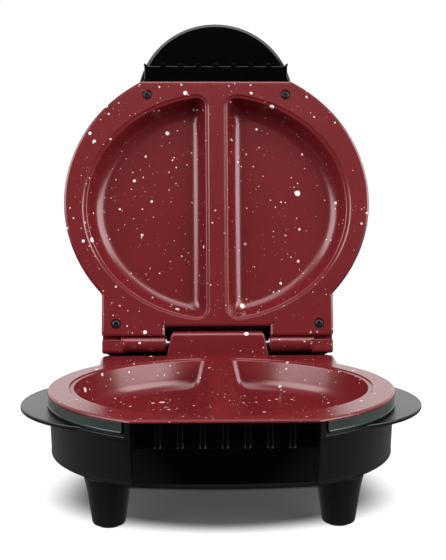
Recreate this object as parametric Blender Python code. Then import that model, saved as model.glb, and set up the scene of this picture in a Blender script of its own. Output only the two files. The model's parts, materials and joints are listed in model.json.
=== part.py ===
"""Countertop omelette maker: two hinged non-stick plates with a pair of half-moon pockets each.

Metres, +Z up, front towards -Y. Each half is drawn as plan outlines, given as (x, forward) points with
forward counted from the hinge axis, and as depths counted from the working face of its plate.
The lid is drawn shut and its parent empty, which stands on the hinge axis, turns it open.
"""

import math

import bmesh
import bpy
from mathutils import Vector

# Fits between separate pieces
FIT = 0.0003
OVERRUN = 0.002

# Plates: plan outline, measured from the hinge axis
PLATE_HALF_WIDTH = 0.1
PLATE_HALF_DEPTH = 0.0925
PLATE_REAR = 0.0043
NECK_LENGTH = 0.0301
NECK_HALF_WIDTH = 0.075
NECK_CORNER = 0.002
NECK_FILLET = 0.003
# How much of the oval's front end the straight front edge cuts off
PLATE_FRONT_SLICE = 0.0121
FRONT_CORNER = 0.0025
PLATE_THICKNESS = 0.0018
PLATE_EDGE = 0.0011
# Where the neck's sides meet the oval, as a share of its half depth behind its middle
NECK_MEETING_SHARE = math.sqrt(1 - (NECK_HALF_WIDTH / PLATE_HALF_WIDTH) ** 2)
PLATE_CENTRE = PLATE_REAR + NECK_LENGTH - NECK_FILLET * 0.85 + NECK_MEETING_SHARE * PLATE_HALF_DEPTH
PLATE_FRONT = PLATE_CENTRE + PLATE_HALF_DEPTH - PLATE_FRONT_SLICE

# Half-moon pockets of both plates
POCKET_SIDE_RIM = 0.012
POCKET_END_RIM = 0.0165
POCKET_SETBACK = 0.0036
UPPER_POCKET_DEPTH = 0.0145
LOWER_POCKET_DEPTH = 0.0192
POCKET_LEDGE_DEPTH = 0.00145
POCKET_DRAFT = 0.0122
POCKET_CORNER = 0.0088
POCKET_FLOOR_CORNER = 0.0018
POCKET_WALL = 0.0028
POCKET_FLOOR_WALL = 0.0025
DIVIDER_HALF_WIDTH = 0.0049
POCKET_HALF_WIDTH = PLATE_HALF_WIDTH - POCKET_SIDE_RIM
POCKET_HALF_DEPTH = PLATE_HALF_DEPTH - POCKET_END_RIM
POCKET_CENTRE = PLATE_CENTRE - POCKET_SETBACK
# How much of the draft the front and rear walls, and the straight wall, take
POCKET_END_SHARE = 0.79
POCKET_STRAIGHT_SHARE = 0.76
# (share of draft, share of the ledge's depth) round the rim, and (share of draft, share of the depth below the
# ledge) down the wall to the flat floor
POCKET_LEDGE_SHARES = ((0.0, 0.0), (0.06, 0.55), (0.25, 1.0))
POCKET_WALL_SHARES = ((0.62, 0.667), (0.76, 0.889), (1.0, 1.0))
BOWL_WALL_SHARES = ((0.27, 0.0), (0.62, 0.667), (0.79, 0.933), (1.0, 1.0))

# Hinge
HINGE_HEIGHT = 0.007
PARTING_GAP = 0.0005
OPEN_DEGREES = 105.0
PIN_RADIUS = 0.002
PIN_END_SETBACK = 0.0025
BARREL_RADIUS = 0.00485
LUG_INNER = 0.034
LUG_BLOCK_LENGTH = 0.0122
LUG_BLOCK_TAPER = 0.002
LUG_WEB_FRONT = 0.0075
LUG_SLOT_FRONT = 0.002
LUG_BLOCK_REACH = 0.00105
LUG_BLOCK_CORNER = 0.0016
NOTCH_LENGTH = 0.0063
KNUCKLE_GAP = 0.001
KNUCKLE_TAPER = 0.0032
KNUCKLE_HEIGHT = 0.0149
KNUCKLE_FRONT = 0.0064
KNUCKLE_REAR = 0.006
KNUCKLE_SLANT = 0.0026
KNUCKLE_ROUND = 0.0026
KNUCKLE_CORNER = 0.0012
CLIP_RADIUS = 0.0042
CLIP_THICKNESS = 0.0007
NOTCH_FRONT = PLATE_REAR + NOTCH_LENGTH
KNUCKLE_HALF_WIDTH = LUG_INNER - KNUCKLE_GAP

# Cast bosses and screws, whose places are set in from the plate's front edge, neck and rear edge
BOSS_RADIUS = 0.0038
BOSS_DEPTH = 0.013
SCREW_SHANK = 0.0017
SCREW_HEAD = 0.0031
SCREW_HEAD_DEPTH = 0.0014
SCREW_SINK = 0.0003
UPPER_SCREW_LENGTH = 0.026
LOWER_SCREW_LENGTH = 0.013
UPPER_SCREW_X = 0.04575
UPPER_SCREW_SETBACK = 0.00935
LOWER_SCREW_X = 0.046
LOWER_SCREW_SETBACK = 0.0129
REAR_SCREW_SIDE = 0.0093
REAR_SCREW_SETBACK = 0.0079
UPPER_FRONT_SCREW = (UPPER_SCREW_X, PLATE_FRONT - UPPER_SCREW_SETBACK)
LOWER_FRONT_SCREW = (LOWER_SCREW_X, PLATE_FRONT - LOWER_SCREW_SETBACK)
REAR_SCREW = (NECK_HALF_WIDTH - REAR_SCREW_SIDE, PLATE_REAR + REAR_SCREW_SETBACK)

# Tubular heating elements and their clamps, set in from the pockets' rim
ELEMENT_RADIUS = 0.0032
ELEMENT_TERMINAL_RADIUS = 0.0014
ELEMENT_SIDE_INSET = 0.038
ELEMENT_END_INSET = 0.03
ELEMENT_TERMINAL_X = 0.017
ELEMENT_TERMINAL_LENGTH = 0.008
ELEMENT_BEND = 0.012
CLAMP_THICKNESS = 0.001
CLAMP_WIDTH = 0.01
CLAMP_OVERHANG = 0.002
CLAMP_BOSS_RADIUS = 0.0036
CLAMP_BOSS_INSET = 0.01
ELEMENT_HALF_WIDTH = POCKET_HALF_WIDTH - ELEMENT_SIDE_INSET
ELEMENT_HALF_DEPTH = POCKET_HALF_DEPTH - ELEMENT_END_INSET
CLAMP_BOSS_X = ELEMENT_HALF_WIDTH - CLAMP_BOSS_INSET

# Pressed steel heat shields
SHIELD_THICKNESS = 0.0008
SHIELD_INSET = 0.0056
SHIELD_GAP = 0.001
SHIELD_WELL_SIDE_INSET = 0.002
SHIELD_WELL_END_INSET = 0.0015
SHIELD_WELL_DRAFT = 0.0065
SHIELD_CLEARANCE = 0.0017

# Base shell, as depths below the lower plate's working face
BASE_REAR = 0.009
BASE_REAR_CORNER = 0.007
SHELL_WALL = 0.0026
RIM_WIDTH = 0.0046
FRONT_RIM_WIDTH = 0.0069
BAND_BOTTOM = 0.008
GROOVE_INSET = 0.002
GROOVE_HEIGHT = 0.0013
SHELF_HEIGHT = 0.0021
WALL_INSET = 0.0012
WALL_FOOT_INSET = 0.0021
WALL_FRONT_BOW = 0.0034
BASE_DEPTH = 0.0385
LIP_HEIGHT = 0.0048
LIP_BULGE_HEIGHT = 0.0032
LIP_BULGE_INSET = 0.0017
LIP_FRONT_BOW = 0.0044
LIP_ROUND_HEIGHT = 0.0011
LIP_ROUND_INSET = 0.0032
BASE_FLOOR_INSET = 0.0062
FLOOR_THICKNESS = 0.0025
DECK_FRONT = 0.0078
DECK_DEPTH = 0.003
DECK_LIP = 0.001
DECK_THICKNESS = 0.0025
TOWER_RADIUS = 0.005
VENT_WIDTH = 0.003
VENT_LENGTH = 0.034
VENT_PITCH = 0.009
VENT_CENTRE_X = 0.034
VENT_COUNT = 5
SHELF_TOP = BAND_BOTTOM + GROOVE_HEIGHT
SHELF_BOTTOM = SHELF_TOP + SHELF_HEIGHT
LIP_TOP = BASE_DEPTH - LIP_HEIGHT

# Crescent wings on the base
WING_REACH = 0.0154
WING_RADIUS = 0.0634
WING_RISE = 0.0003
WING_THICKNESS = 0.0022
WING_EDGE = 0.0008
WING_CENTRE_X = PLATE_HALF_WIDTH + WING_REACH - WING_RADIUS
WING_TOP = SHELF_TOP - WING_RISE
WING_BOTTOM = WING_TOP + WING_THICKNESS

# Glossy front panel with its ribbed grille
PANEL_HALF_WIDTH = 0.0489
PANEL_LEAN = 0.0011
PANEL_THICKNESS = 0.0039
BAND_END_GAP = 0.0035
GRILLE_RECESS = 0.0023
GRILLE_BOTTOM = 0.0151
GRILLE_SIDE = 0.0014
RIB_COUNT = 7
RIB_PITCH = 0.01167
RIB_RADIUS = 0.0021
PANEL_BACK = PLATE_FRONT - PANEL_THICKNESS
BAND_END_X = PANEL_HALF_WIDTH + BAND_END_GAP
GRILLE_BACK = PLATE_FRONT - GRILLE_RECESS
LOWER_SHIELD_FRONT = PLATE_FRONT - FRONT_RIM_WIDTH - SHIELD_GAP
UPPER_SHIELD_FRONT = PLATE_FRONT - SHIELD_INSET

# Feet and their pads
FOOT_TOP_RADIUS = 0.0125
FOOT_BOTTOM_RADIUS = 0.0088
FOOT_EDGE = 0.0012
FOOT_HEIGHT = 0.0244
FRONT_FOOT_X = 0.062
FRONT_FOOT_SETBACK = 0.0244
REAR_FOOT_SIDE = 0.025
REAR_FOOT_SETBACK = 0.0102
FOOT_BORE_RADIUS = 0.0042
FOOT_WEB_SETBACK = 0.004
FOOT_WEB_THICKNESS = 0.003
PAD_RADIUS = 0.0062
PAD_RECESS = 0.0015
PAD_THICKNESS = 0.002
FOOT_SCREW_LENGTH = 0.011
FOOT_BOSS_HEIGHT = 0.009
FRONT_FOOT = (FRONT_FOOT_X, PLATE_FRONT - FRONT_FOOT_SETBACK)
REAR_FOOT = (NECK_HALF_WIDTH - REAR_FOOT_SIDE, PLATE_REAR + REAR_FOOT_SETBACK)
FOOT_LIFT = BASE_DEPTH + FOOT_HEIGHT
FOOT_WEB_BOTTOM = BASE_DEPTH + FOOT_WEB_SETBACK + FOOT_WEB_THICKNESS

# Lid shell, as depths behind the upper plate's working face
LID_REAR = 0.0073
LID_REAR_STEP = 0.0038
LID_REAR_WALL = 0.0024
LID_REAR_CORNER = 0.005
LID_WALL_TOP = 0.024
LID_WALL_INSET = 0.0005
LID_CROWN = 0.011
LID_LUG_ROOM = 0.0009
LID_LUG_ROOM_FRONT = 0.0007
LID_NOTCH_SIDE_GAP = 0.0006
LID_NOTCH_TOP_GAP = 0.0008
LID_ROOF = 0.0025
# (inset as a share of the lid's half depth, share of the height of the crown)
DOME_SHARES = ((0.022, 0.36), (0.07, 0.64), (0.168, 0.82), (0.32, 0.94), (0.51, 1.0))
LID_REAR_HALF_WIDTH = NECK_HALF_WIDTH - LID_REAR_STEP
LID_CAVITY_NECK_HALF_WIDTH = LID_REAR_HALF_WIDTH - LID_REAR_WALL
LID_HINGE_CUT_DEPTH = HINGE_HEIGHT - PARTING_GAP + BARREL_RADIUS + LID_LUG_ROOM
LID_HINGE_CUT_FRONT = LUG_WEB_FRONT + LID_LUG_ROOM_FRONT
LID_NOTCH_HALF_WIDTH = LUG_INNER + LID_NOTCH_SIDE_GAP
LID_NOTCH_DEPTH = KNUCKLE_HEIGHT - PARTING_GAP + 2 * LID_NOTCH_TOP_GAP
LID_DEPTH = LID_WALL_TOP + LID_CROWN

# Ribbed front box of the lid and the crescent handle above it
FRONT_BOX_HALF_WIDTH = 0.0486
FRONT_BOX_TAPER = 0.0012
FRONT_BOX_PROJECTION = 0.0106
FRONT_BOX_FLARE_LENGTH = 0.003
FRONT_BOX_OVERLAP = 0.0054
FRONT_POST_WIDTH = 0.0022
FRONT_POST_REACH = 0.0024
FRONT_POST_FLARE = 0.0006
FRONT_RIB_RADIUS = 0.0021
HANDLE_RADIUS = 0.053
HANDLE_SETBACK = 0.0061
HANDLE_RISE = 0.0002
HANDLE_THICKNESS = 0.007
HANDLE_EDGE = 0.0018
FRONT_BOX_TIP_HALF_WIDTH = FRONT_BOX_HALF_WIDTH - FRONT_BOX_TAPER
FRONT_BOX_REACH = PLATE_FRONT + FRONT_BOX_PROJECTION
FRONT_BOX_BACK = PLATE_FRONT - FRONT_BOX_OVERLAP
HANDLE_CENTRE = PLATE_FRONT - HANDLE_SETBACK
HANDLE_UNDERSIDE = LID_WALL_TOP + HANDLE_RISE
HANDLE_TOP = HANDLE_UNDERSIDE + HANDLE_THICKNESS

# Indicator lights in the root of the handle
LIGHT_X = 0.0115
LENS_RADIUS = 0.004
LENS_FLANGE_WIDTH = 0.001
LENS_FLANGE_THICKNESS = 0.0012
LENS_SEAT_GAP = 0.0004
LENS_CROWN = 0.0009
LENS_TUBE_DEPTH = 0.0085
LENS_TUBE_WALL = 0.0009
LAMP_RADIUS = 0.0023
LAMP_LENGTH = 0.011
LENS_FLANGE_RADIUS = LENS_RADIUS + LENS_FLANGE_WIDTH
LIGHT_FORWARD = FRONT_BOX_REACH - SHELL_WALL - LENS_SEAT_GAP - LENS_FLANGE_RADIUS

# Electrical pieces inside the base
THERMOSTAT_RADIUS = 0.0062
THERMOSTAT_HEIGHT = 0.009
THERMOSTAT_SETBACK = 0.0275
THERMOSTAT_SEAT_DEPTH = 0.0095
TAB_WIDTH = 0.0048
TAB_THICKNESS = 0.0008
TAB_LENGTH = 0.005
FUSE_RADIUS = 0.002
FUSE_LENGTH = 0.016
FUSE_ADVANCE = 0.0185
FUSE_CLIP_WALL = 0.0008
FUSE_SEAT_DEPTH = 0.0085
FUSE_SEAT_HALF_WIDTH = 0.0052
TERMINAL_BLOCK_SIZE = (0.024, 0.011, 0.012)
TERMINAL_BLOCK_X = 0.026
TERMINAL_BLOCK_FORWARD = 0.001
TERMINAL_SCREW_RADIUS = 0.0017
GLAND_HEIGHT = 0.016
GLAND_RADIUS = 0.0056
GLAND_FLANGE_RADIUS = 0.008
GLAND_FLANGE_THICKNESS = 0.0018
GLAND_BORE_RADIUS = 0.0036
THERMOSTAT_FORWARD = POCKET_CENTRE - THERMOSTAT_SETBACK
FUSE_FORWARD = POCKET_CENTRE + FUSE_ADVANCE
GLAND_DEPTH = BASE_DEPTH - GLAND_HEIGHT

# How finely curves are cut
OVAL_STEPS = 12
CORNER_STEPS = 3
REAR_EDGE_STEPS = 5
POCKET_STEPS = 16
ROUND_STEPS = 16
SMALL_ROUND_STEPS = 8
LARGE_ROUND_STEPS = 44
ARC_STEPS = 3
ELEMENT_STEPS = 20

FACE_DROP = HINGE_HEIGHT - PARTING_GAP


def lower(depth):
    """Height of a depth below the lower plate's face, with the face at zero."""
    return -depth


def upper(depth):
    """Height above the hinge axis of a depth behind the upper plate's face, lid shut."""
    return depth - FACE_DROP


# Materials


def material(name, colour, roughness, metallic=0.0):
    made = bpy.data.materials.new(name)
    made.use_nodes = True
    shader = made.node_tree.nodes["Principled BSDF"]
    shader.inputs["Base Color"].default_value = (*colour, 1.0)
    shader.inputs["Roughness"].default_value = roughness
    shader.inputs["Metallic"].default_value = metallic
    made.diffuse_color = (*colour, 1.0)
    return made


# Outlines


def solve(function, low, high):
    """The place between low and high where a function that changes sign is zero."""
    rising = function(high) > 0
    for _ in range(40):
        middle = (low + high) / 2
        if (function(middle) > 0) == rising:
            high = middle
        else:
            low = middle
    return (low + high) / 2


def arc(centre, radius, start, end, steps):
    """Points of an arc, both ends included."""
    turns = [start + (end - start) * k / steps for k in range(steps + 1)]
    return [(centre[0] + radius * math.cos(a), centre[1] + radius * math.sin(a)) for a in turns]


def oval_normal(angle, half_width, half_depth):
    across = math.cos(angle) / half_width
    along = math.sin(angle) / half_depth
    length = math.hypot(across, along)
    return across / length, along / length


def body_outline(inset=0.0, rear=PLATE_REAR, neck=NECK_HALF_WIDTH, corner=NECK_CORNER, bow=0.0, front=PLATE_FRONT):
    """Plan of a plate or shell: straight rear edge, neck, oval sides and front edge, which may bow."""
    half_width = PLATE_HALF_WIDTH - inset
    half_depth = PLATE_HALF_DEPTH - inset
    neck = neck - inset
    rear = rear + inset
    front = front - inset

    def oval(angle, offset):
        normal = oval_normal(angle, half_width, half_depth)
        x = half_width * math.cos(angle) + offset * normal[0]
        forward = PLATE_CENTRE + half_depth * math.sin(angle) + offset * normal[1]
        return x, forward, math.atan2(normal[1], normal[0])

    join = solve(lambda t: oval(t, NECK_FILLET)[0] - neck - NECK_FILLET, -math.pi / 2, 0)
    shoulder = solve(lambda t: oval(t, -FRONT_CORNER)[1] - front + FRONT_CORNER, 0, math.pi / 2)
    x, forward, facing = oval(join, NECK_FILLET)
    half = [((neck - corner) * k / REAR_EDGE_STEPS, rear) for k in range(REAR_EDGE_STEPS)]
    half += arc((neck - corner, rear + corner), corner, -math.pi / 2, 0, CORNER_STEPS)
    half += arc((x, forward), NECK_FILLET, math.pi, facing + math.pi, CORNER_STEPS)
    steps = [join + (shoulder - join) * k / OVAL_STEPS for k in range(1, OVAL_STEPS)]
    half += [oval(t, 0)[:2] for t in steps]
    x, forward, facing = oval(shoulder, -FRONT_CORNER)
    half += arc((x, forward), FRONT_CORNER, facing, math.pi / 2, CORNER_STEPS)
    edge = half[-1][0]
    half += [(edge * k / ARC_STEPS, front + bow * (1 - (k / ARC_STEPS) ** 2)) for k in range(ARC_STEPS - 1, 0, -1)]
    return half + [(0, front + bow)] + [(-x, forward) for x, forward in reversed(half[1:])]


def pocket_outline(inset, side):
    """Plan of one half-moon at an inset from its rim: the rounded form of an oval cut by the divider."""
    radius = max(POCKET_CORNER - inset, POCKET_FLOOR_CORNER)
    half_width = POCKET_HALF_WIDTH - inset - radius
    half_depth = POCKET_HALF_DEPTH - inset * POCKET_END_SHARE - radius
    straight = DIVIDER_HALF_WIDTH + inset * POCKET_STRAIGHT_SHARE + radius
    end = math.acos(straight / half_width)
    points = []
    for k in range(POCKET_STEPS + 1):
        angle = end * (2 * k / POCKET_STEPS - 1)
        normal = oval_normal(angle, half_width, half_depth)
        x = half_width * math.cos(angle) + radius * normal[0]
        points.append((x, POCKET_CENTRE + half_depth * math.sin(angle) + radius * normal[1]))
    tip = POCKET_CENTRE + half_depth * math.sin(end)
    facing = math.atan2(*reversed(oval_normal(end, half_width, half_depth)))
    front = arc((straight, tip), radius, facing, math.pi, CORNER_STEPS)[1:]
    rear = [(x, 2 * POCKET_CENTRE - forward) for x, forward in reversed(front)]
    return [(side * x, forward) for x, forward in rear + points + front]


def oval_like(outline, half_width, half_depth, centre):
    """An oval with one point for each point of an outline, in the same direction from the centre."""
    points = []
    for x, forward in outline:
        angle = math.atan2((forward - centre) / half_depth, x / half_width)
        points.append((half_width * math.cos(angle), centre + half_depth * math.sin(angle)))
    return points


def rectangle(half_width, rear, front, corner):
    """A rectangle with rounded corners, symmetric across x."""
    right = arc((half_width - corner, rear + corner), corner, -math.pi / 2, 0, ARC_STEPS)
    right += arc((half_width - corner, front - corner), corner, 0, math.pi / 2, ARC_STEPS)
    return right + [(-x, forward) for x, forward in reversed(right)]


def circle(centre, radius, steps=ROUND_STEPS):
    return arc(centre, radius, 0, 2 * math.pi, steps)[:-1]


# Solids


def flat_ring(outline, height):
    """An (x, forward) outline laid at a height."""
    return [(x, -forward, height) for x, forward in outline]


def side_ring(outline, x):
    """A (forward, height) outline stood at a place across the part."""
    return [(x, -forward, height) for forward, height in outline]


def loft(rings):
    """A closed solid through rings of equal count, with a flat cap on each end."""
    count = len(rings[0])
    points = [point for ring in rings for point in ring]
    faces = [tuple(range(count))]
    for k in range(len(rings) - 1):
        for i in range(count):
            j = (i + 1) % count
            faces.append((k * count + i, k * count + j, (k + 1) * count + j, (k + 1) * count + i))
    faces.append(tuple(range((len(rings) - 1) * count, len(rings) * count)))
    return points, faces


def turned(profile, centre, steps=ROUND_STEPS):
    """A solid turned about a vertical axis at an (x, forward) centre, from (radius, height) pairs."""
    return loft([flat_ring(circle(centre, radius, steps), height) for radius, height in profile])


def turned_across(profile, forward, height, steps=SMALL_ROUND_STEPS):
    """A solid turned about an axis along x, from (radius, x) pairs."""
    return loft([side_ring(circle((forward, height), radius, steps), x) for radius, x in profile])


def box(x, forward, height):
    """A box from (low, high) pairs."""
    outline = [(x[0], forward[0]), (x[1], forward[0]), (x[1], forward[1]), (x[0], forward[1])]
    return loft([flat_ring(outline, height[0]), flat_ring(outline, height[1])])


def both_sides(solids):
    """The solids and their mirror images across the middle plane."""
    return solids + [([(-x, y, z) for x, y, z in points], faces) for points, faces in solids]


def mesh_object(name, solids, look, parent=None):
    """One object from separate closed solids, with its faces turned outwards."""
    mesh = bpy.data.meshes.new(name)
    shell = bmesh.new()
    for points, faces in solids:
        made = [shell.verts.new(point) for point in points]
        new = [shell.faces.new([made[i] for i in face]) for face in faces]
        bmesh.ops.recalc_face_normals(shell, faces=new)
    shell.to_mesh(mesh)
    shell.free()
    mesh.shade_smooth()
    mesh.set_sharp_from_angle(angle=math.radians(30))
    made = bpy.data.objects.new(name, mesh)
    bpy.context.scene.collection.objects.link(made)
    made.parent = parent
    if look:
        mesh.materials.append(look)
    return made


def tool(name, solids, parent):
    """A helper shape for a Boolean, left out of renders."""
    made = mesh_object(name, solids, None, parent)
    made.hide_render = True
    made.display_type = "WIRE"
    return made


def combine(piece, operation, name, solids):
    """Adds solids to a piece, or cuts them from it, with a Boolean."""
    modifier = piece.modifiers.new(name, "BOOLEAN")
    modifier.operation = operation
    modifier.object = tool(f"{piece.name}_{name}", solids, piece.parent)


def add(piece, name, solids):
    combine(piece, "UNION", name, solids)


def cut(piece, name, solids):
    combine(piece, "DIFFERENCE", name, solids)


# Pieces that both halves share


def pocket_solid(level, pocket_depth, side):
    """The space of one half-moon pocket, running out past the working face."""
    rings = [flat_ring(pocket_outline(0, side), level(-OVERRUN))]
    for draft_share, depth_share in POCKET_LEDGE_SHARES:
        outline = pocket_outline(POCKET_DRAFT * draft_share, side)
        rings.append(flat_ring(outline, level(POCKET_LEDGE_DEPTH * depth_share)))
    below = pocket_depth - POCKET_LEDGE_DEPTH
    for draft_share, depth_share in POCKET_WALL_SHARES:
        outline = pocket_outline(POCKET_DRAFT * draft_share, side)
        rings.append(flat_ring(outline, level(POCKET_LEDGE_DEPTH + below * depth_share)))
    return loft(rings)


def bowl_solid(level, pocket_depth, side):
    """The outer form of one pocket, from inside the plate's thickness to below its floor."""
    below = bowl_depth(pocket_depth) - POCKET_LEDGE_DEPTH
    rings = []
    for draft_share, depth_share in BOWL_WALL_SHARES:
        outline = pocket_outline(POCKET_DRAFT * draft_share - POCKET_WALL, side)
        rings.append(flat_ring(outline, level(POCKET_LEDGE_DEPTH + below * depth_share)))
    return loft(rings)


def plate_slab(level, edge=PLATE_EDGE):
    """The plate's flat body with a rounded edge round its working face."""
    return loft(
        [
            flat_ring(body_outline(edge), level(0)),
            flat_ring(body_outline(edge * (1 - math.sqrt(0.5))), level(edge * (1 - math.sqrt(0.5)))),
            flat_ring(body_outline(), level(edge)),
            flat_ring(body_outline(), level(PLATE_THICKNESS)),
        ]
    )


def right_and_left(place):
    return {"right": place, "left": (-place[0], place[1])}


def corners(front, rear):
    """Four (x, forward) places by name, from the front one and the rear one on the right."""
    named = {}
    for end, place in (("front", front), ("rear", rear)):
        for side, found in right_and_left(place).items():
            named[f"{end}_{side}"] = found
    return named


def bowl_depth(pocket_depth):
    return pocket_depth + POCKET_FLOOR_WALL


def element_depth(pocket_depth):
    return bowl_depth(pocket_depth) + FIT + ELEMENT_RADIUS


def clamp_depth(pocket_depth):
    """Depth of a clamp's face that bears on its boss and on the element."""
    return element_depth(pocket_depth) + ELEMENT_RADIUS + FIT


def plate_bosses(level, pocket_depth, front):
    """Screw bosses at the plate's corners and clamp bosses under its bowls."""
    inside = PLATE_THICKNESS / 2
    bosses = []
    for place in corners(front, REAR_SCREW).values():
        bosses.append(turned([(BOSS_RADIUS, level(inside)), (BOSS_RADIUS, level(BOSS_DEPTH))], place))
    start = pocket_depth + POCKET_WALL / 2
    end = clamp_depth(pocket_depth) - FIT
    for place in clamp_places().values():
        profile = [(CLAMP_BOSS_RADIUS, level(start)), (CLAMP_BOSS_RADIUS, level(end))]
        bosses.append(turned(profile, place, SMALL_ROUND_STEPS))
    return bosses


def clamp_places():
    return right_and_left((CLAMP_BOSS_X, POCKET_CENTRE))


def clamp_screw_reach(pocket_depth):
    """Depth of the tips of the screws that hold the clamp, short of the pocket's floor."""
    return bowl_depth(pocket_depth) + FIT


def clamp_screw_holes(level, pocket_depth):
    radius = SCREW_SHANK + FIT
    far = clamp_depth(pocket_depth) + CLAMP_THICKNESS + OVERRUN
    ends = (clamp_screw_reach(pocket_depth) - FIT, far)
    profile = [(radius, level(depth)) for depth in ends]
    return [turned(profile, place, SMALL_ROUND_STEPS) for place in clamp_places().values()]


def element(name, level, pocket_depth, look, parent):
    """A bent tubular element: one loop under both pockets, its two ends turned to the rear."""
    points = []
    first = math.asin(ELEMENT_TERMINAL_X / ELEMENT_HALF_WIDTH)
    for k in range(ELEMENT_STEPS + 1):
        turn = -math.pi / 2 + first + (2 * math.pi - 2 * first) * k / ELEMENT_STEPS
        x = ELEMENT_HALF_WIDTH * math.cos(turn)
        points.append((x, POCKET_CENTRE + ELEMENT_HALF_DEPTH * math.sin(turn), 1.0))
    rear = points[0][1]
    shrink = ELEMENT_TERMINAL_RADIUS / ELEMENT_RADIUS
    bend = rear - ELEMENT_BEND
    tail = bend - ELEMENT_TERMINAL_LENGTH
    start = [(ELEMENT_TERMINAL_X, tail, shrink), (ELEMENT_TERMINAL_X, bend, shrink), (ELEMENT_TERMINAL_X, bend, 1.0)]
    end = [(-x, forward, radius) for x, forward, radius in reversed(start)]
    path = start + points[1:-1] + end
    rings = []
    for k, (x, forward, radius) in enumerate(path):
        before = path[max(k - 1, 0)]
        after = path[min(k + 1, len(path) - 1)]
        along = Vector((after[0] - before[0], before[1] - after[1], 0)).normalized()
        across = along.cross(Vector((0, 0, 1)))
        size = ELEMENT_RADIUS * radius
        ring = []
        for step in range(SMALL_ROUND_STEPS):
            turn = 2 * math.pi * step / SMALL_ROUND_STEPS
            place = Vector((x, -forward, level(element_depth(pocket_depth))))
            ring.append(tuple(place + size * (math.cos(turn) * across + math.sin(turn) * Vector((0, 0, 1)))))
        rings.append(ring)
    return mesh_object(name, [loft(rings)], look, parent)


def element_clamp(name, level, pocket_depth, look, parent):
    """A flat steel bar that crosses both pockets and holds the element up against the bowls."""
    half = ELEMENT_HALF_WIDTH + ELEMENT_RADIUS + CLAMP_OVERHANG
    outline = rectangle(half, POCKET_CENTRE - CLAMP_WIDTH / 2, POCKET_CENTRE + CLAMP_WIDTH / 2, CLAMP_OVERHANG)
    seat = clamp_depth(pocket_depth)
    depths = (seat, seat + CLAMP_THICKNESS)
    piece = mesh_object(name, [loft([flat_ring(outline, level(depth)) for depth in depths])], look, parent)
    cut(piece, "screw_holes", clamp_screw_holes(level, pocket_depth))
    return piece


def side_slot(place, radius, reach):
    """A slot round a place, open towards its own side."""
    side = math.copysign(1, place[0])
    turns = [math.pi / 2 + math.pi * k / CORNER_STEPS for k in range(CORNER_STEPS + 1)]
    outline = [(place[0] + side * radius * math.cos(a), place[1] + radius * math.sin(a)) for a in turns]
    return outline + [(side * reach, place[1] - radius), (side * reach, place[1] + radius)]


def heat_shield(name, level, pocket_depth, front_screw, front, look, parent):
    """A pressed pan: a flange between the plate's bosses and the shell's towers, and a well round the element."""
    neck = LID_CAVITY_NECK_HALF_WIDTH - SHIELD_GAP + SHIELD_INSET
    flange = body_outline(SHIELD_INSET, neck=neck, front=front + SHIELD_INSET)
    half_width = POCKET_HALF_WIDTH - SHIELD_WELL_SIDE_INSET
    half_depth = POCKET_HALF_DEPTH - SHIELD_WELL_END_INSET
    top = BOSS_DEPTH + FIT
    thick = SHIELD_THICKNESS
    bottom = clamp_depth(pocket_depth) + CLAMP_THICKNESS + FIT + SCREW_HEAD_DEPTH + SHIELD_CLEARANCE

    def well(inset):
        return oval_like(flange, half_width - inset, half_depth - inset, POCKET_CENTRE)

    rings = [
        (well(SHIELD_WELL_DRAFT + thick), bottom),
        (well(thick), top),
        (flange, top),
        (flange, top + thick),
        (well(0), top + thick),
        (well(SHIELD_WELL_DRAFT), bottom + thick),
    ]
    piece = mesh_object(name, [loft([flat_ring(outline, level(depth)) for outline, depth in rings])], look, parent)
    radius = SCREW_SHANK + 2 * FIT
    ends = (level(top - OVERRUN), level(top + OVERRUN))
    for place in right_and_left(front_screw).values():
        cut(piece, "screw_hole", [turned([(radius, end) for end in ends], place, SMALL_ROUND_STEPS)])
    for place in right_and_left(REAR_SCREW).values():
        outline = side_slot(place, radius, NECK_HALF_WIDTH)
        cut(piece, "screw_slot", [loft([flat_ring(outline, end) for end in ends])])
    return piece


# Lower half


def knuckle():
    """The hinge block cast at the middle of the lower plate's rear edge."""
    rise = KNUCKLE_HEIGHT - KNUCKLE_ROUND
    half = KNUCKLE_ROUND * (1 - math.sqrt(0.5))
    rings = []
    for share, inset, height in (
        (0, 0, lower(DECK_DEPTH)),
        (0, 0, 0),
        (rise / KNUCKLE_HEIGHT, 0, rise),
        (1, half, KNUCKLE_HEIGHT - half),
        (1, KNUCKLE_ROUND, KNUCKLE_HEIGHT),
    ):
        half_width = KNUCKLE_HALF_WIDTH - KNUCKLE_TAPER * share - inset / 2
        front = KNUCKLE_FRONT - KNUCKLE_SLANT * share - inset
        outline = rectangle(half_width, -KNUCKLE_REAR + inset, front, KNUCKLE_CORNER)
        rings.append(flat_ring(outline, height))
    return loft(rings)


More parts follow.
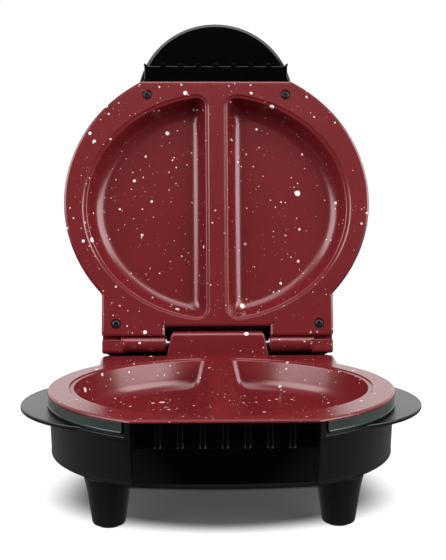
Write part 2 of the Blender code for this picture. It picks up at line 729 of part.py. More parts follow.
def lower_plate(look, parent):
    piece = mesh_object("lower_plate", [plate_slab(lower)], look, parent)
    add(piece, "bowls", [bowl_solid(lower, LOWER_POCKET_DEPTH, side) for side in (1, -1)])
    add(piece, "knuckle", [knuckle()])
    seat_front = THERMOSTAT_FORWARD + THERMOSTAT_RADIUS
    seat_rear = THERMOSTAT_FORWARD - THERMOSTAT_RADIUS
    inside = PLATE_THICKNESS / 2
    seats = [
        box((-FUSE_SEAT_HALF_WIDTH, FUSE_SEAT_HALF_WIDTH), (seat_rear, seat_front), (-THERMOSTAT_SEAT_DEPTH, -inside)),
        box(
            (-FUSE_SEAT_HALF_WIDTH, FUSE_SEAT_HALF_WIDTH),
            (FUSE_FORWARD - FUSE_LENGTH / 2, FUSE_FORWARD + FUSE_LENGTH / 2),
            (-FUSE_SEAT_DEPTH, -inside),
        ),
    ]
    add(piece, "seats", seats)
    add(piece, "bosses", plate_bosses(lower, LOWER_POCKET_DEPTH, LOWER_FRONT_SCREW))
    cut(piece, "pockets", [pocket_solid(lower, LOWER_POCKET_DEPTH, side) for side in (1, -1)])
    reach = KNUCKLE_HALF_WIDTH + OVERRUN
    bore = PIN_RADIUS + FIT
    cut(piece, "pin_bore", [turned_across([(bore, -reach), (bore, reach)], 0, HINGE_HEIGHT)])
    holes = []
    shank = SCREW_SHANK + FIT
    for place in corners(LOWER_FRONT_SCREW, REAR_SCREW).values():
        holes.append(turned([(shank, -BOSS_DEPTH - OVERRUN), (shank, -PLATE_THICKNESS)], place, SMALL_ROUND_STEPS))
    cut(piece, "screw_holes", holes + clamp_screw_holes(lower, LOWER_POCKET_DEPTH))
    return piece


def base_outline(inset, bow=0.0, front=PLATE_FRONT, rear=BASE_REAR):
    return body_outline(inset, -rear, NECK_HALF_WIDTH, BASE_REAR_CORNER, bow, front)


def base_form(grow=0.0):
    """The base tub's outside: glossy band, groove, shelf, tapered wall and rolled lower lip."""
    levels = (
        (0, PLATE_THICKNESS + FIT, 0),
        (0, BAND_BOTTOM, 0),
        (GROOVE_INSET, BAND_BOTTOM, 0),
        (GROOVE_INSET, SHELF_TOP, 0),
        (0, SHELF_TOP, 0),
        (0, SHELF_BOTTOM, 0),
        (WALL_INSET, SHELF_BOTTOM, WALL_FRONT_BOW),
        (WALL_FOOT_INSET, LIP_TOP, WALL_FRONT_BOW),
        (LIP_BULGE_INSET, BASE_DEPTH - LIP_BULGE_HEIGHT, LIP_FRONT_BOW),
        (LIP_ROUND_INSET, BASE_DEPTH - LIP_ROUND_HEIGHT, LIP_FRONT_BOW),
        (BASE_FLOOR_INSET, BASE_DEPTH, LIP_FRONT_BOW),
    )
    rings = [flat_ring(base_outline(inset - grow, bow), lower(depth)) for inset, depth, bow in levels]
    if grow:
        rings.append(flat_ring(base_outline(BASE_FLOOR_INSET - grow, LIP_FRONT_BOW), lower(BASE_DEPTH + grow)))
    return loft(rings)


def wing(side):
    """One flat crescent wing, drawn as a whole disc whose inner part lies in the tub's wall."""
    centre = (side * WING_CENTRE_X, PLATE_CENTRE)
    levels = (
        (WING_RADIUS - WING_EDGE, WING_TOP),
        (WING_RADIUS, WING_TOP + WING_EDGE),
        (WING_RADIUS, WING_BOTTOM - WING_EDGE),
        (WING_RADIUS - WING_EDGE, WING_BOTTOM),
    )
    return turned([(radius, lower(depth)) for radius, depth in levels], centre, LARGE_ROUND_STEPS)


def base_cavities():
    """The hollow under the plate and the lower hollow that runs back under the hinge deck."""
    floor = BASE_DEPTH - FLOOR_THICKNESS
    front = PLATE_FRONT + RIM_WIDTH - FRONT_RIM_WIDTH

    def outline(inset, rear):
        return body_outline(inset, rear - inset, NECK_HALF_WIDTH, BASE_REAR_CORNER / 2, 0, front)

    main = loft(
        [
            flat_ring(outline(RIM_WIDTH, DECK_FRONT), lower(PLATE_THICKNESS - OVERRUN)),
            flat_ring(outline(RIM_WIDTH, DECK_FRONT), lower(LIP_TOP)),
            flat_ring(outline(RIM_WIDTH + SHELL_WALL, DECK_FRONT), lower(floor)),
        ]
    )
    half_width = NECK_HALF_WIDTH - RIM_WIDTH
    deck = DECK_DEPTH + FIT + DECK_THICKNESS
    rear = rectangle(half_width, -BASE_REAR + SHELL_WALL, DECK_FRONT + RIM_WIDTH, SHELL_WALL)
    return main, loft([flat_ring(rear, lower(deck)), flat_ring(rear, lower(floor))])


def tower_top():
    return BOSS_DEPTH + FIT + SHIELD_THICKNESS + FIT


def lower_screw_seat():
    """Depth at which the heads of the lower plate's screws bear, inside the towers."""
    return tower_top() + SHELL_WALL


def band_end_groove():
    """The upright groove round the front end of one side's band, which leaves a post beside the panel."""
    end = BAND_END_X + GROOVE_HEIGHT
    face = PLATE_CENTRE + PLATE_HALF_DEPTH * math.sqrt(1 - (end / PLATE_HALF_WIDTH) ** 2)
    across = (BAND_END_X, end)
    along = (face - GROOVE_INSET, PLATE_FRONT + OVERRUN)
    return box(across, along, (lower(SHELF_TOP), lower(PLATE_THICKNESS - OVERRUN)))


def base_shell(look, parent):
    piece = mesh_object("base_shell", [base_form()], look, parent)
    add(piece, "wing_right", [wing(1)])
    add(piece, "wing_left", [wing(-1)])
    across = NECK_HALF_WIDTH + OVERRUN
    step = box(
        (-across, across),
        (-BASE_REAR - OVERRUN, DECK_FRONT - DECK_LIP),
        (lower(DECK_DEPTH + FIT), OVERRUN),
    )
    cut(piece, "deck_step", [step])
    main, rear = base_cavities()
    cut(piece, "cavity", [main])
    cut(piece, "rear_cavity", [rear])
    floor = BASE_DEPTH - FLOOR_THICKNESS / 2
    towers = []
    bores = []
    shank = SCREW_SHANK + 2 * FIT
    head = SCREW_HEAD + 2 * FIT
    for place in corners(LOWER_FRONT_SCREW, REAR_SCREW).values():
        towers.append(turned([(TOWER_RADIUS, lower(tower_top())), (TOWER_RADIUS, lower(floor))], place))
        steps = [
            (shank, tower_top() - OVERRUN),
            (shank, lower_screw_seat()),
            (head, lower_screw_seat()),
            (head, BASE_DEPTH + OVERRUN),
        ]
        bores.append(turned([(radius, lower(depth)) for radius, depth in steps], place, SMALL_ROUND_STEPS))
    pilot = SCREW_SHANK + FIT
    for place in corners(FRONT_FOOT, REAR_FOOT).values():
        top = BASE_DEPTH - FLOOR_THICKNESS - FOOT_BOSS_HEIGHT
        towers.append(turned([(BOSS_RADIUS, lower(top)), (BOSS_RADIUS, lower(floor))], place, SMALL_ROUND_STEPS))
        holes = [(pilot, lower(top + SHELL_WALL / 2)), (pilot, lower(BASE_DEPTH + OVERRUN))]
        bores.append(turned(holes, place, SMALL_ROUND_STEPS))
    add(piece, "towers", towers)
    cut(piece, "bores", bores)
    reach = PLATE_FRONT + WALL_FRONT_BOW + OVERRUN
    top = PLATE_THICKNESS - OVERRUN
    half = PANEL_HALF_WIDTH + FIT
    window = [
        flat_ring(rectangle(half, PANEL_BACK - FIT, reach, FIT), lower(top)),
        flat_ring(rectangle(half, PANEL_BACK - FIT, reach, FIT), lower(GRILLE_BOTTOM)),
        flat_ring(rectangle(half - PANEL_LEAN, PANEL_BACK - FIT, reach, FIT), lower(LIP_TOP)),
    ]
    cut(piece, "panel_recess", [loft(window)])
    cut(piece, "band_ends", both_sides([band_end_groove()]))
    vents = []
    for k in range(VENT_COUNT):
        forward = PLATE_CENTRE + (k - (VENT_COUNT - 1) / 2) * VENT_PITCH
        across = (VENT_CENTRE_X - VENT_LENGTH / 2, VENT_CENTRE_X + VENT_LENGTH / 2)
        along = (forward - VENT_WIDTH / 2, forward + VENT_WIDTH / 2)
        vents.append(box(across, along, (lower(BASE_DEPTH + OVERRUN), lower(BASE_DEPTH - FLOOR_THICKNESS - OVERRUN))))
    cut(piece, "vents", both_sides(vents))
    hole = GLAND_RADIUS + FIT
    rings = []
    for forward in (-BASE_REAR - OVERRUN, -BASE_REAR + SHELL_WALL + OVERRUN):
        rings.append([(x, -forward, z) for x, z in circle((0, lower(GLAND_DEPTH)), hole, ROUND_STEPS)])
    cut(piece, "gland_hole", [loft(rings)])
    return piece


def rib(x, face, radius, low, high):
    """A half-round rib that stands on a front wall, from one height to another."""
    outline = [(x + radius * math.cos(a), face + radius * math.sin(a)) for a in
               [math.pi * k / (2 * ARC_STEPS) for k in range(2 * ARC_STEPS + 1)]]
    outline += [(x - radius, face - radius / 2), (x + radius, face - radius / 2)]
    return loft([flat_ring(outline, low), flat_ring(outline, high)])


def rib_places():
    return [RIB_PITCH * (k - (RIB_COUNT - 1) / 2) for k in range(RIB_COUNT)]


def front_panel(look, parent):
    """The panel let into the base's front: a ribbed recess above a sill, then a plain face that bows out."""
    top = PLATE_THICKNESS + FIT
    bottom = LIP_TOP - FIT

    def section(half_width, face, bow):
        front = [(half_width * k / ARC_STEPS, face + bow * (1 - (k / ARC_STEPS) ** 2)) for k in range(ARC_STEPS, 0, -1)]
        front += [(0, face + bow)] + [(-x, forward) for x, forward in reversed(front)]
        return front + [(-half_width, PANEL_BACK), (half_width, PANEL_BACK)]

    foot_face = PLATE_FRONT - WALL_FOOT_INSET
    foot_bow = WALL_FRONT_BOW + foot_face - PLATE_FRONT + WALL_FOOT_INSET
    rings = [
        flat_ring(section(PANEL_HALF_WIDTH, PLATE_FRONT, 0), lower(top)),
        flat_ring(section(PANEL_HALF_WIDTH, PLATE_FRONT, 0), lower(GRILLE_BOTTOM)),
        flat_ring(section(PANEL_HALF_WIDTH - PANEL_LEAN, foot_face, foot_bow), lower(bottom)),
    ]
    piece = mesh_object("front_panel", [loft(rings)], look, parent)
    half = PANEL_HALF_WIDTH - GRILLE_SIDE
    across = (-half, half)
    recess = box(across, (GRILLE_BACK, PLATE_FRONT + OVERRUN), (lower(GRILLE_BOTTOM), lower(top - OVERRUN)))
    cut(piece, "grille_recess", [recess])
    sink = GRILLE_BOTTOM + RIB_RADIUS / 2
    ribs = [rib(x, GRILLE_BACK, RIB_RADIUS, lower(sink), lower(top + FIT)) for x in rib_places()]
    add(piece, "ribs", ribs)
    return piece


def foot(name, place, look, parent):
    """One tapered hollow foot whose top is cut to the tub's rolled lip."""
    top = BASE_DEPTH - (BASE_DEPTH - LIP_TOP) / 2
    profile = (
        (FOOT_TOP_RADIUS, top),
        (FOOT_BOTTOM_RADIUS, FOOT_LIFT - FOOT_EDGE),
        (FOOT_BOTTOM_RADIUS - FOOT_EDGE, FOOT_LIFT),
    )
    piece = mesh_object(name, [turned([(r, lower(d)) for r, d in profile], place, ROUND_STEPS)], look, parent)
    cut(piece, "tub", [base_form(FIT)])
    recess = (PAD_RADIUS + FIT) / math.cos(math.pi / SMALL_ROUND_STEPS)
    bore = (
        (recess, FOOT_LIFT + OVERRUN),
        (recess, FOOT_LIFT - PAD_RECESS),
        (FOOT_BORE_RADIUS, FOOT_LIFT - PAD_RECESS),
        (FOOT_BORE_RADIUS, FOOT_WEB_BOTTOM),
        (SCREW_SHANK + FIT, FOOT_WEB_BOTTOM),
        (SCREW_SHANK + FIT, BASE_DEPTH - OVERRUN),
    )
    cut(piece, "bore", [turned([(r, lower(d)) for r, d in bore], place, SMALL_ROUND_STEPS)])
    return piece


def foot_pad(name, place, look, parent):
    """A rubber disc seated in the foot's end."""
    top = FOOT_LIFT - PAD_RECESS + FIT
    profile = ((PAD_RADIUS, top), (PAD_RADIUS, top + PAD_THICKNESS))
    return mesh_object(name, [turned([(r, lower(d)) for r, d in profile], place, ROUND_STEPS)], look, parent)


def screw_profile(seat, length, towards):
    """(radius, depth) pairs of a pan-head screw whose head bears at a depth and whose shank runs on."""
    return (
        (SCREW_SHANK, seat + towards * length),
        (SCREW_SHANK, seat),
        (SCREW_HEAD, seat),
        (SCREW_HEAD, seat - towards * SCREW_HEAD_DEPTH),
    )


def screws(name, places, seat, length, towards, level, look, parent):
    """One screw object for each named place."""
    profile = [(radius, level(depth)) for radius, depth in screw_profile(seat, length, towards)]
    for corner, place in places.items():
        mesh_object(f"{name}_{corner}", [turned(profile, place, SMALL_ROUND_STEPS)], look, parent)


def thermostat(look, parent):
    """A snap-action disc thermostat under the divider, with its two tabs."""
    top = THERMOSTAT_SEAT_DEPTH + FIT
    cap = THERMOSTAT_HEIGHT / 3
    profile = (
        (THERMOSTAT_RADIUS, top),
        (THERMOSTAT_RADIUS, top + cap),
        (THERMOSTAT_RADIUS * 0.86, top + cap),
        (THERMOSTAT_RADIUS * 0.86, top + THERMOSTAT_HEIGHT),
    )
    place = (0, THERMOSTAT_FORWARD)
    piece = mesh_object("thermostat", [turned([(r, lower(d)) for r, d in profile], place)], look, parent)
    start = THERMOSTAT_RADIUS / 2
    height = (lower(top + THERMOSTAT_HEIGHT - TAB_THICKNESS), lower(top + THERMOSTAT_HEIGHT - 2 * TAB_THICKNESS))
    tabs = []
    for side in (1, -1):
        along = sorted((THERMOSTAT_FORWARD + side * start, THERMOSTAT_FORWARD + side * (2 * start + TAB_LENGTH)))
        tabs.append(box((-TAB_WIDTH / 2, TAB_WIDTH / 2), along, height))
    add(piece, "tabs", tabs)
    return piece


def fuse_height():
    return lower(FUSE_SEAT_DEPTH + FIT + FUSE_CLIP_WALL + FIT + FUSE_RADIUS)


def thermal_fuse(look, parent):
    """A sealed thermal fuse lying along the divider in its clip."""
    rings = []
    half = FUSE_LENGTH / 2
    for radius, along in ((0.45, -half), (1.0, -half * 0.8), (1.0, half * 0.8), (0.45, half)):
        ring = circle((0, fuse_height()), FUSE_RADIUS * radius, SMALL_ROUND_STEPS)
        rings.append([(x, -(FUSE_FORWARD + along), z) for x, z in ring])
    return mesh_object("thermal_fuse", [loft(rings)], look, parent)


def fuse_clip(look, parent):
    """A spring clip that wraps the fuse from above and on both sides."""
    inner = FUSE_RADIUS + FIT
    outer = inner + FUSE_CLIP_WALL
    count = 2 * CORNER_STEPS
    sweep = [math.radians(-40) + (math.pi + math.radians(80)) * k / count for k in range(count + 1)]
    outline = [(outer * math.cos(a), outer * math.sin(a)) for a in sweep]
    outline += [(inner * math.cos(a), inner * math.sin(a)) for a in reversed(sweep)]
    height = fuse_height()
    rings = []
    for along in (-FUSE_LENGTH / 4, FUSE_LENGTH / 4):
        rings.append([(x, -(FUSE_FORWARD + along), height + z) for x, z in outline])
    return mesh_object("fuse_clip", [loft(rings)], look, parent)


def terminal_block(look, parent):
    """A ceramic terminal block on the floor beside the cord's entry."""
    width, depth, height = TERMINAL_BLOCK_SIZE
    floor = lower(BASE_DEPTH - FLOOR_THICKNESS) + FIT
    across = (TERMINAL_BLOCK_X - width / 2, TERMINAL_BLOCK_X + width / 2)
    along = (TERMINAL_BLOCK_FORWARD - depth / 2, TERMINAL_BLOCK_FORWARD + depth / 2)
    piece = mesh_object("terminal_block", [box(across, along, (floor, floor + height))], look, parent)
    holes = []
    for k in (-1, 0, 1):
        place = (TERMINAL_BLOCK_X + k * width / 3.4, TERMINAL_BLOCK_FORWARD)
        radius = TERMINAL_SCREW_RADIUS + FIT
        holes.append(turned([(radius, floor + height / 2), (radius, floor + height + OVERRUN)], place, SMALL_ROUND_STEPS))
    cut(piece, "screw_wells", holes)
    return piece


def terminal_screws(look, parent):
    width, _, height = TERMINAL_BLOCK_SIZE
    low = lower(BASE_DEPTH - FLOOR_THICKNESS) + FIT + height / 2 + FIT
    profile = [(TERMINAL_SCREW_RADIUS, low), (TERMINAL_SCREW_RADIUS, low + height / 3)]
    for name, k in (("left", -1), ("middle", 0), ("right", 1)):
        place = (TERMINAL_BLOCK_X + k * width / 3.4, TERMINAL_BLOCK_FORWARD)
        mesh_object(f"terminal_screw_{name}", [turned(profile, place, SMALL_ROUND_STEPS)], look, parent)


def cord_gland(look, parent):
    """The bush through the rear wall that the mains lead would pass, flanged on both faces."""
    outside = BASE_REAR + FIT
    inside = BASE_REAR - SHELL_WALL - FIT
    flange = GLAND_FLANGE_THICKNESS
    profile = (
        (GLAND_FLANGE_RADIUS - flange / 2, outside + flange),
        (GLAND_FLANGE_RADIUS, outside),
        (GLAND_RADIUS, outside),
        (GLAND_RADIUS, inside),
        (GLAND_RADIUS + flange, inside),
        (GLAND_RADIUS + flange, inside - flange),
    )
    height = lower(GLAND_DEPTH)
    rings = [[(x, y, z) for x, z in circle((0, height), radius, ROUND_STEPS)] for radius, y in profile]
    piece = mesh_object("cord_gland", [loft(rings)], look, parent)
    ends = (outside + flange + OVERRUN, inside - flange - OVERRUN)
    bore = [[(x, y, z) for x, z in circle((0, height), GLAND_BORE_RADIUS, ROUND_STEPS)] for y in ends]
    cut(piece, "bore", [loft(bore)])
    return piece


# Hinge


def hinge_pin(look, parent):
    """A steel rod through both lugs and the knuckle."""
    half = NECK_HALF_WIDTH - PIN_END_SETBACK
    tip = half - PIN_RADIUS / 4
    profile = [(PIN_RADIUS * 0.75, -half), (PIN_RADIUS, -tip), (PIN_RADIUS, tip), (PIN_RADIUS * 0.75, half)]
    return mesh_object("hinge_pin", [turned_across(profile, 0, HINGE_HEIGHT)], look, parent)


def hinge_clip(name, side, look, parent):
    """A spring washer that keeps the pin from sliding, in the gap beside the knuckle."""
    ends = (side * (LUG_INNER - FIT - CLIP_THICKNESS), side * (LUG_INNER - FIT))
    washer = turned_across([(CLIP_RADIUS, x) for x in ends], 0, HINGE_HEIGHT)
    piece = mesh_object(name, [washer], look, parent)
    bore = PIN_RADIUS + FIT
    reach = LUG_INNER + OVERRUN
    cut(piece, "bore", [turned_across([(bore, -reach), (bore, reach)], 0, HINGE_HEIGHT)])
    return piece


# Upper half, drawn shut with the hinge axis at its origin


def lug():
    """One hinge lug: a barrel with a web to the plate, ending in a squarer block."""
    web_foot = upper(PLATE_THICKNESS / 2)
    turn = math.asin(PLATE_REAR * 0.8 / BARREL_RADIUS)
    sweep = [math.pi / 2 + (math.pi + turn) * k / (3 * ARC_STEPS) for k in range(3 * ARC_STEPS + 1)]
    barrel = [(BARREL_RADIUS * math.cos(a), BARREL_RADIUS * math.sin(a)) for a in sweep]
    throat = barrel[-1][1]
    toe = (PLATE_REAR + LUG_WEB_FRONT) / 2
    barrel += [(toe, throat), (toe, web_foot), (LUG_WEB_FRONT, web_foot), (LUG_WEB_FRONT, BARREL_RADIUS)]
    corner = LUG_BLOCK_CORNER
    face = -BARREL_RADIUS - LUG_BLOCK_REACH
    start = NECK_HALF_WIDTH - LUG_BLOCK_LENGTH

    def block(shrink):
        low, high = face + shrink, BARREL_RADIUS - shrink
        back = -BARREL_RADIUS + shrink
        front = LUG_SLOT_FRONT - shrink
        return [
            (front, low),
            (back + corner, low),
            (back + corner * 0.3, low + corner * 0.3),
            (back, low + corner),
            (back, high - corner),
            (back + corner, high),
            (front, high),
        ]

    edge = LUG_BLOCK_CORNER / 2
    body = loft([side_ring(barrel, LUG_INNER), side_ring(barrel, NECK_HALF_WIDTH - edge)])
    rings = [
        side_ring(block(LUG_BLOCK_REACH + edge), start - LUG_BLOCK_TAPER),
        side_ring(block(0), start),
        side_ring(block(0), NECK_HALF_WIDTH - edge),
        side_ring(block(edge), NECK_HALF_WIDTH),
    ]
    return body, loft(rings)


def upper_plate(look, parent):
    piece = mesh_object("upper_plate", [plate_slab(upper)], look, parent)
    add(piece, "bowls", [bowl_solid(upper, UPPER_POCKET_DEPTH, side) for side in (1, -1)])
    barrel, block = lug()
    add(piece, "barrels", both_sides([barrel]))
    add(piece, "blocks", both_sides([block]))
    add(piece, "bosses", plate_bosses(upper, UPPER_POCKET_DEPTH, UPPER_FRONT_SCREW))
    cut(piece, "pockets", [pocket_solid(upper, UPPER_POCKET_DEPTH, side) for side in (1, -1)])
    notch = rectangle(LUG_INNER, PLATE_REAR - OVERRUN, NOTCH_FRONT, NECK_CORNER / 4)
    cut(piece, "notch", [loft([flat_ring(notch, upper(-OVERRUN)), flat_ring(notch, upper(PLATE_THICKNESS + OVERRUN))])])
    reach = NECK_HALF_WIDTH + OVERRUN
    bore = PIN_RADIUS + FIT
    cut(piece, "pin_bore", [turned_across([(bore, -reach), (bore, reach)], 0, 0)])
    shank = SCREW_SHANK + FIT
    head = SCREW_HEAD + FIT
    seat = SCREW_SINK + SCREW_HEAD_DEPTH
    holes = []
    for place in corners(UPPER_FRONT_SCREW, REAR_SCREW).values():
        steps = ((head, -OVERRUN), (head, seat), (shank, seat), (shank, BOSS_DEPTH + OVERRUN))
        holes.append(turned([(r, upper(d)) for r, d in steps], place, SMALL_ROUND_STEPS))
    cut(piece, "screw_holes", holes + clamp_screw_holes(upper, UPPER_POCKET_DEPTH))
    return piece


def lid_outline(inset, neck=NECK_HALF_WIDTH):
    return body_outline(inset, -LID_REAR, neck, LID_REAR_CORNER)


def lid_form(wall):
    """The lid's dome: upright sides, then a crown that closes in; a wall shrinks it to the hollow."""
    crown = LID_DEPTH - LID_WALL_TOP
    start = PLATE_THICKNESS + FIT if not wall else PLATE_THICKNESS - OVERRUN
    levels = [(wall, start), (LID_WALL_INSET + wall, LID_WALL_TOP)]
    for inset_share, height_share in DOME_SHARES:
        inset = LID_WALL_INSET + inset_share * PLATE_HALF_DEPTH + wall
        levels.append((inset, LID_WALL_TOP + crown * height_share - (LID_ROOF if wall else 0)))
    rings = []
    neck = LID_CAVITY_NECK_HALF_WIDTH + wall if wall else NECK_HALF_WIDTH
    for inset, depth in levels:
        rings.append(flat_ring(lid_outline(inset, neck), upper(depth)))
    return loft(rings)


def crescent_handle():
    """The crescent above the front box: a disc whose rear part lies in the dome."""
    centre = (0, HANDLE_CENTRE)
    levels = (
        (HANDLE_RADIUS - HANDLE_EDGE, HANDLE_UNDERSIDE),
        (HANDLE_RADIUS - HANDLE_EDGE / 4, HANDLE_UNDERSIDE + HANDLE_EDGE / 2),
        (HANDLE_RADIUS, HANDLE_UNDERSIDE + HANDLE_EDGE),
        (HANDLE_RADIUS - HANDLE_EDGE / 2, HANDLE_TOP - HANDLE_EDGE / 2),
        (HANDLE_RADIUS - 2 * HANDLE_EDGE, HANDLE_TOP),
    )
    return turned([(radius, upper(depth)) for radius, depth in levels], centre, LARGE_ROUND_STEPS)


def front_box():
    """The hollow box under the handle, a little narrower at its front."""
    back = FRONT_BOX_BACK - RIM_WIDTH
    outline = [
        (FRONT_BOX_HALF_WIDTH, back),
        (FRONT_BOX_HALF_WIDTH, PLATE_FRONT),
        (FRONT_BOX_TIP_HALF_WIDTH, PLATE_FRONT + FRONT_BOX_FLARE_LENGTH),
        (FRONT_BOX_TIP_HALF_WIDTH, FRONT_BOX_REACH),
        (-FRONT_BOX_TIP_HALF_WIDTH, FRONT_BOX_REACH),
        (-FRONT_BOX_TIP_HALF_WIDTH, PLATE_FRONT + FRONT_BOX_FLARE_LENGTH),
        (-FRONT_BOX_HALF_WIDTH, PLATE_FRONT),
        (-FRONT_BOX_HALF_WIDTH, back),
    ]
    top = (HANDLE_UNDERSIDE + HANDLE_TOP) / 2
    return loft([flat_ring(outline, upper(PLATE_THICKNESS + FIT)), flat_ring(outline, upper(top))])


def front_posts():
    """The two horns that stand forward and a little outwards at the ends of the row of ribs."""
    low = upper(PLATE_THICKNESS + FIT)
    high = upper(HANDLE_UNDERSIDE + HANDLE_EDGE)
    side = FRONT_BOX_TIP_HALF_WIDTH
    outline = [
        (side - FRONT_POST_WIDTH, FRONT_BOX_REACH - FRONT_POST_WIDTH),
        (side, FRONT_BOX_REACH - FRONT_POST_WIDTH),
        (side, FRONT_BOX_REACH),
        (side + FRONT_POST_FLARE, FRONT_BOX_REACH + FRONT_POST_REACH / 2),
        (side + FRONT_POST_FLARE / 2, FRONT_BOX_REACH + FRONT_POST_REACH),
        (side - FRONT_POST_WIDTH / 2, FRONT_BOX_REACH + FRONT_POST_REACH / 2),
        (side - FRONT_POST_WIDTH, FRONT_BOX_REACH),
    ]
    return both_sides([loft([flat_ring(outline, low), flat_ring(outline, high)])])


def lid_shell(look, parent):
    piece = mesh_object("lid_shell", [lid_form(0)], look, parent)
    add(piece, "handle", [crescent_handle()])
    add(piece, "front_box", [front_box()])
    add(piece, "posts", front_posts())
    low = upper(PLATE_THICKNESS + FIT)
    high = upper(HANDLE_UNDERSIDE + HANDLE_EDGE)
    add(piece, "ribs", [rib(x, FRONT_BOX_REACH, FRONT_RIB_RADIUS, low, high) for x in rib_places()])
    cut(piece, "cavity", [lid_form(RIM_WIDTH)])
    half = FRONT_BOX_TIP_HALF_WIDTH - SHELL_WALL
    box_cavity = box(
        (-half, half),
        (FRONT_BOX_BACK - 2 * RIM_WIDTH, FRONT_BOX_REACH - SHELL_WALL),
        (upper(PLATE_THICKNESS + FIT + SHELL_WALL), upper(HANDLE_TOP - SHELL_WALL)),
    )
    cut(piece, "front_cavity", [box_cavity])
    across = NECK_HALF_WIDTH + OVERRUN
    clearances = box(
        (-across, across),
        (-LID_REAR - OVERRUN, LID_HINGE_CUT_FRONT),
        (upper(-OVERRUN), upper(LID_HINGE_CUT_DEPTH)),
    )
    cut(piece, "hinge_clearance", [clearances])
    reliefs = box(
        (LID_REAR_HALF_WIDTH, across),
        (-LID_REAR - OVERRUN, PLATE_REAR),
        (upper(0), upper(LID_DEPTH + OVERRUN)),
    )
    cut(piece, "lug_reliefs", both_sides([reliefs]))
    notch = box(
        (-LID_NOTCH_HALF_WIDTH, LID_NOTCH_HALF_WIDTH),
        (-LID_REAR - OVERRUN, NOTCH_FRONT),
        (upper(-OVERRUN), upper(LID_NOTCH_DEPTH)),
    )
    cut(piece, "knuckle_notch", [notch])
    sockets = [(BOSS_RADIUS + 2 * FIT, upper(-OVERRUN)), (BOSS_RADIUS + 2 * FIT, upper(BOSS_DEPTH + FIT))]
    places = right_and_left(REAR_SCREW).values()
    cut(piece, "boss_sockets", [turned(sockets, place) for place in places])
    towers = []
    bores = []
    start = tower_top()
    pilot = SCREW_SHANK + FIT
    for place in corners(UPPER_FRONT_SCREW, REAR_SCREW).values():
        roof = LID_WALL_TOP + RIM_WIDTH / 2
        towers.append(turned([(BOSS_RADIUS, upper(start)), (BOSS_RADIUS, upper(roof))], place, SMALL_ROUND_STEPS))
        reach = SCREW_SINK + SCREW_HEAD_DEPTH + UPPER_SCREW_LENGTH + FIT
        bores.append(turned([(pilot, upper(start - OVERRUN)), (pilot, upper(reach))], place, SMALL_ROUND_STEPS))
    add(piece, "towers", towers)
    cut(piece, "bores", bores)
    holes = []
    for side in (1, -1):
        place = (side * LIGHT_X, LIGHT_FORWARD)
        radius = LENS_RADIUS + FIT
        holes.append(
            turned([(radius, upper(HANDLE_UNDERSIDE)), (radius, upper(HANDLE_TOP + OVERRUN))], place)
        )
    cut(piece, "light_holes", holes)
    return piece


def indicator_lens(name, side, look, parent):
    """A clear lens pushed up through the handle's root, with a flange below and a tube for its lamp."""
    place = (side * LIGHT_X, LIGHT_FORWARD)
    roof = HANDLE_TOP - SHELL_WALL - FIT
    tube = LAMP_RADIUS + FIT + LENS_TUBE_WALL
    profile = (
        (LENS_RADIUS * 0.7, HANDLE_TOP + LENS_CROWN),
        (LENS_RADIUS, HANDLE_TOP),
        (LENS_RADIUS, roof),
        (LENS_FLANGE_RADIUS, roof),
        (LENS_FLANGE_RADIUS, roof - LENS_FLANGE_THICKNESS),
        (tube, roof - LENS_FLANGE_THICKNESS),
        (tube, roof - LENS_TUBE_DEPTH),
    )
    piece = mesh_object(name, [turned([(r, upper(d)) for r, d in profile], place, ROUND_STEPS)], look, parent)
    bore = LAMP_RADIUS + FIT
    ends = ((bore, roof - LENS_TUBE_DEPTH - OVERRUN), (bore, roof - FIT))
    cut(piece, "lamp_bore", [turned([(r, upper(d)) for r, d in ends], place, SMALL_ROUND_STEPS)])
    return piece


def indicator_lamp(name, side, look, parent):
    """A small neon lamp pushed into the lens's tube."""
    place = (side * LIGHT_X, LIGHT_FORWARD)
    top = HANDLE_TOP - SHELL_WALL - 3 * FIT
    profile = (
        (LAMP_RADIUS * 0.4, top),
        (LAMP_RADIUS, top - LAMP_RADIUS / 2),
        (LAMP_RADIUS, top - LAMP_LENGTH),
    )
    return mesh_object(name, [turned([(r, upper(d)) for r, d in profile], place, SMALL_ROUND_STEPS)], look, parent)


def stand_on_worktop(origin):
    """Moves the whole part so that its feet stand at height zero, midway between its extents."""
    bpy.context.view_layer.update()
    graph = bpy.context.evaluated_depsgraph_get()
    corners = []
    for piece in bpy.data.objects:
        if piece.type == "MESH" and not piece.hide_render:
            found = piece.evaluated_get(graph)
            corners += [found.matrix_world @ vertex.co for vertex in found.data.vertices]
    low = [min(corner[k] for corner in corners) for k in range(3)]
    high = [max(corner[k] for corner in corners) for k in range(3)]
    origin.location = (-(low[0] + high[0]) / 2, -(low[1] + high[1]) / 2, -low[2])


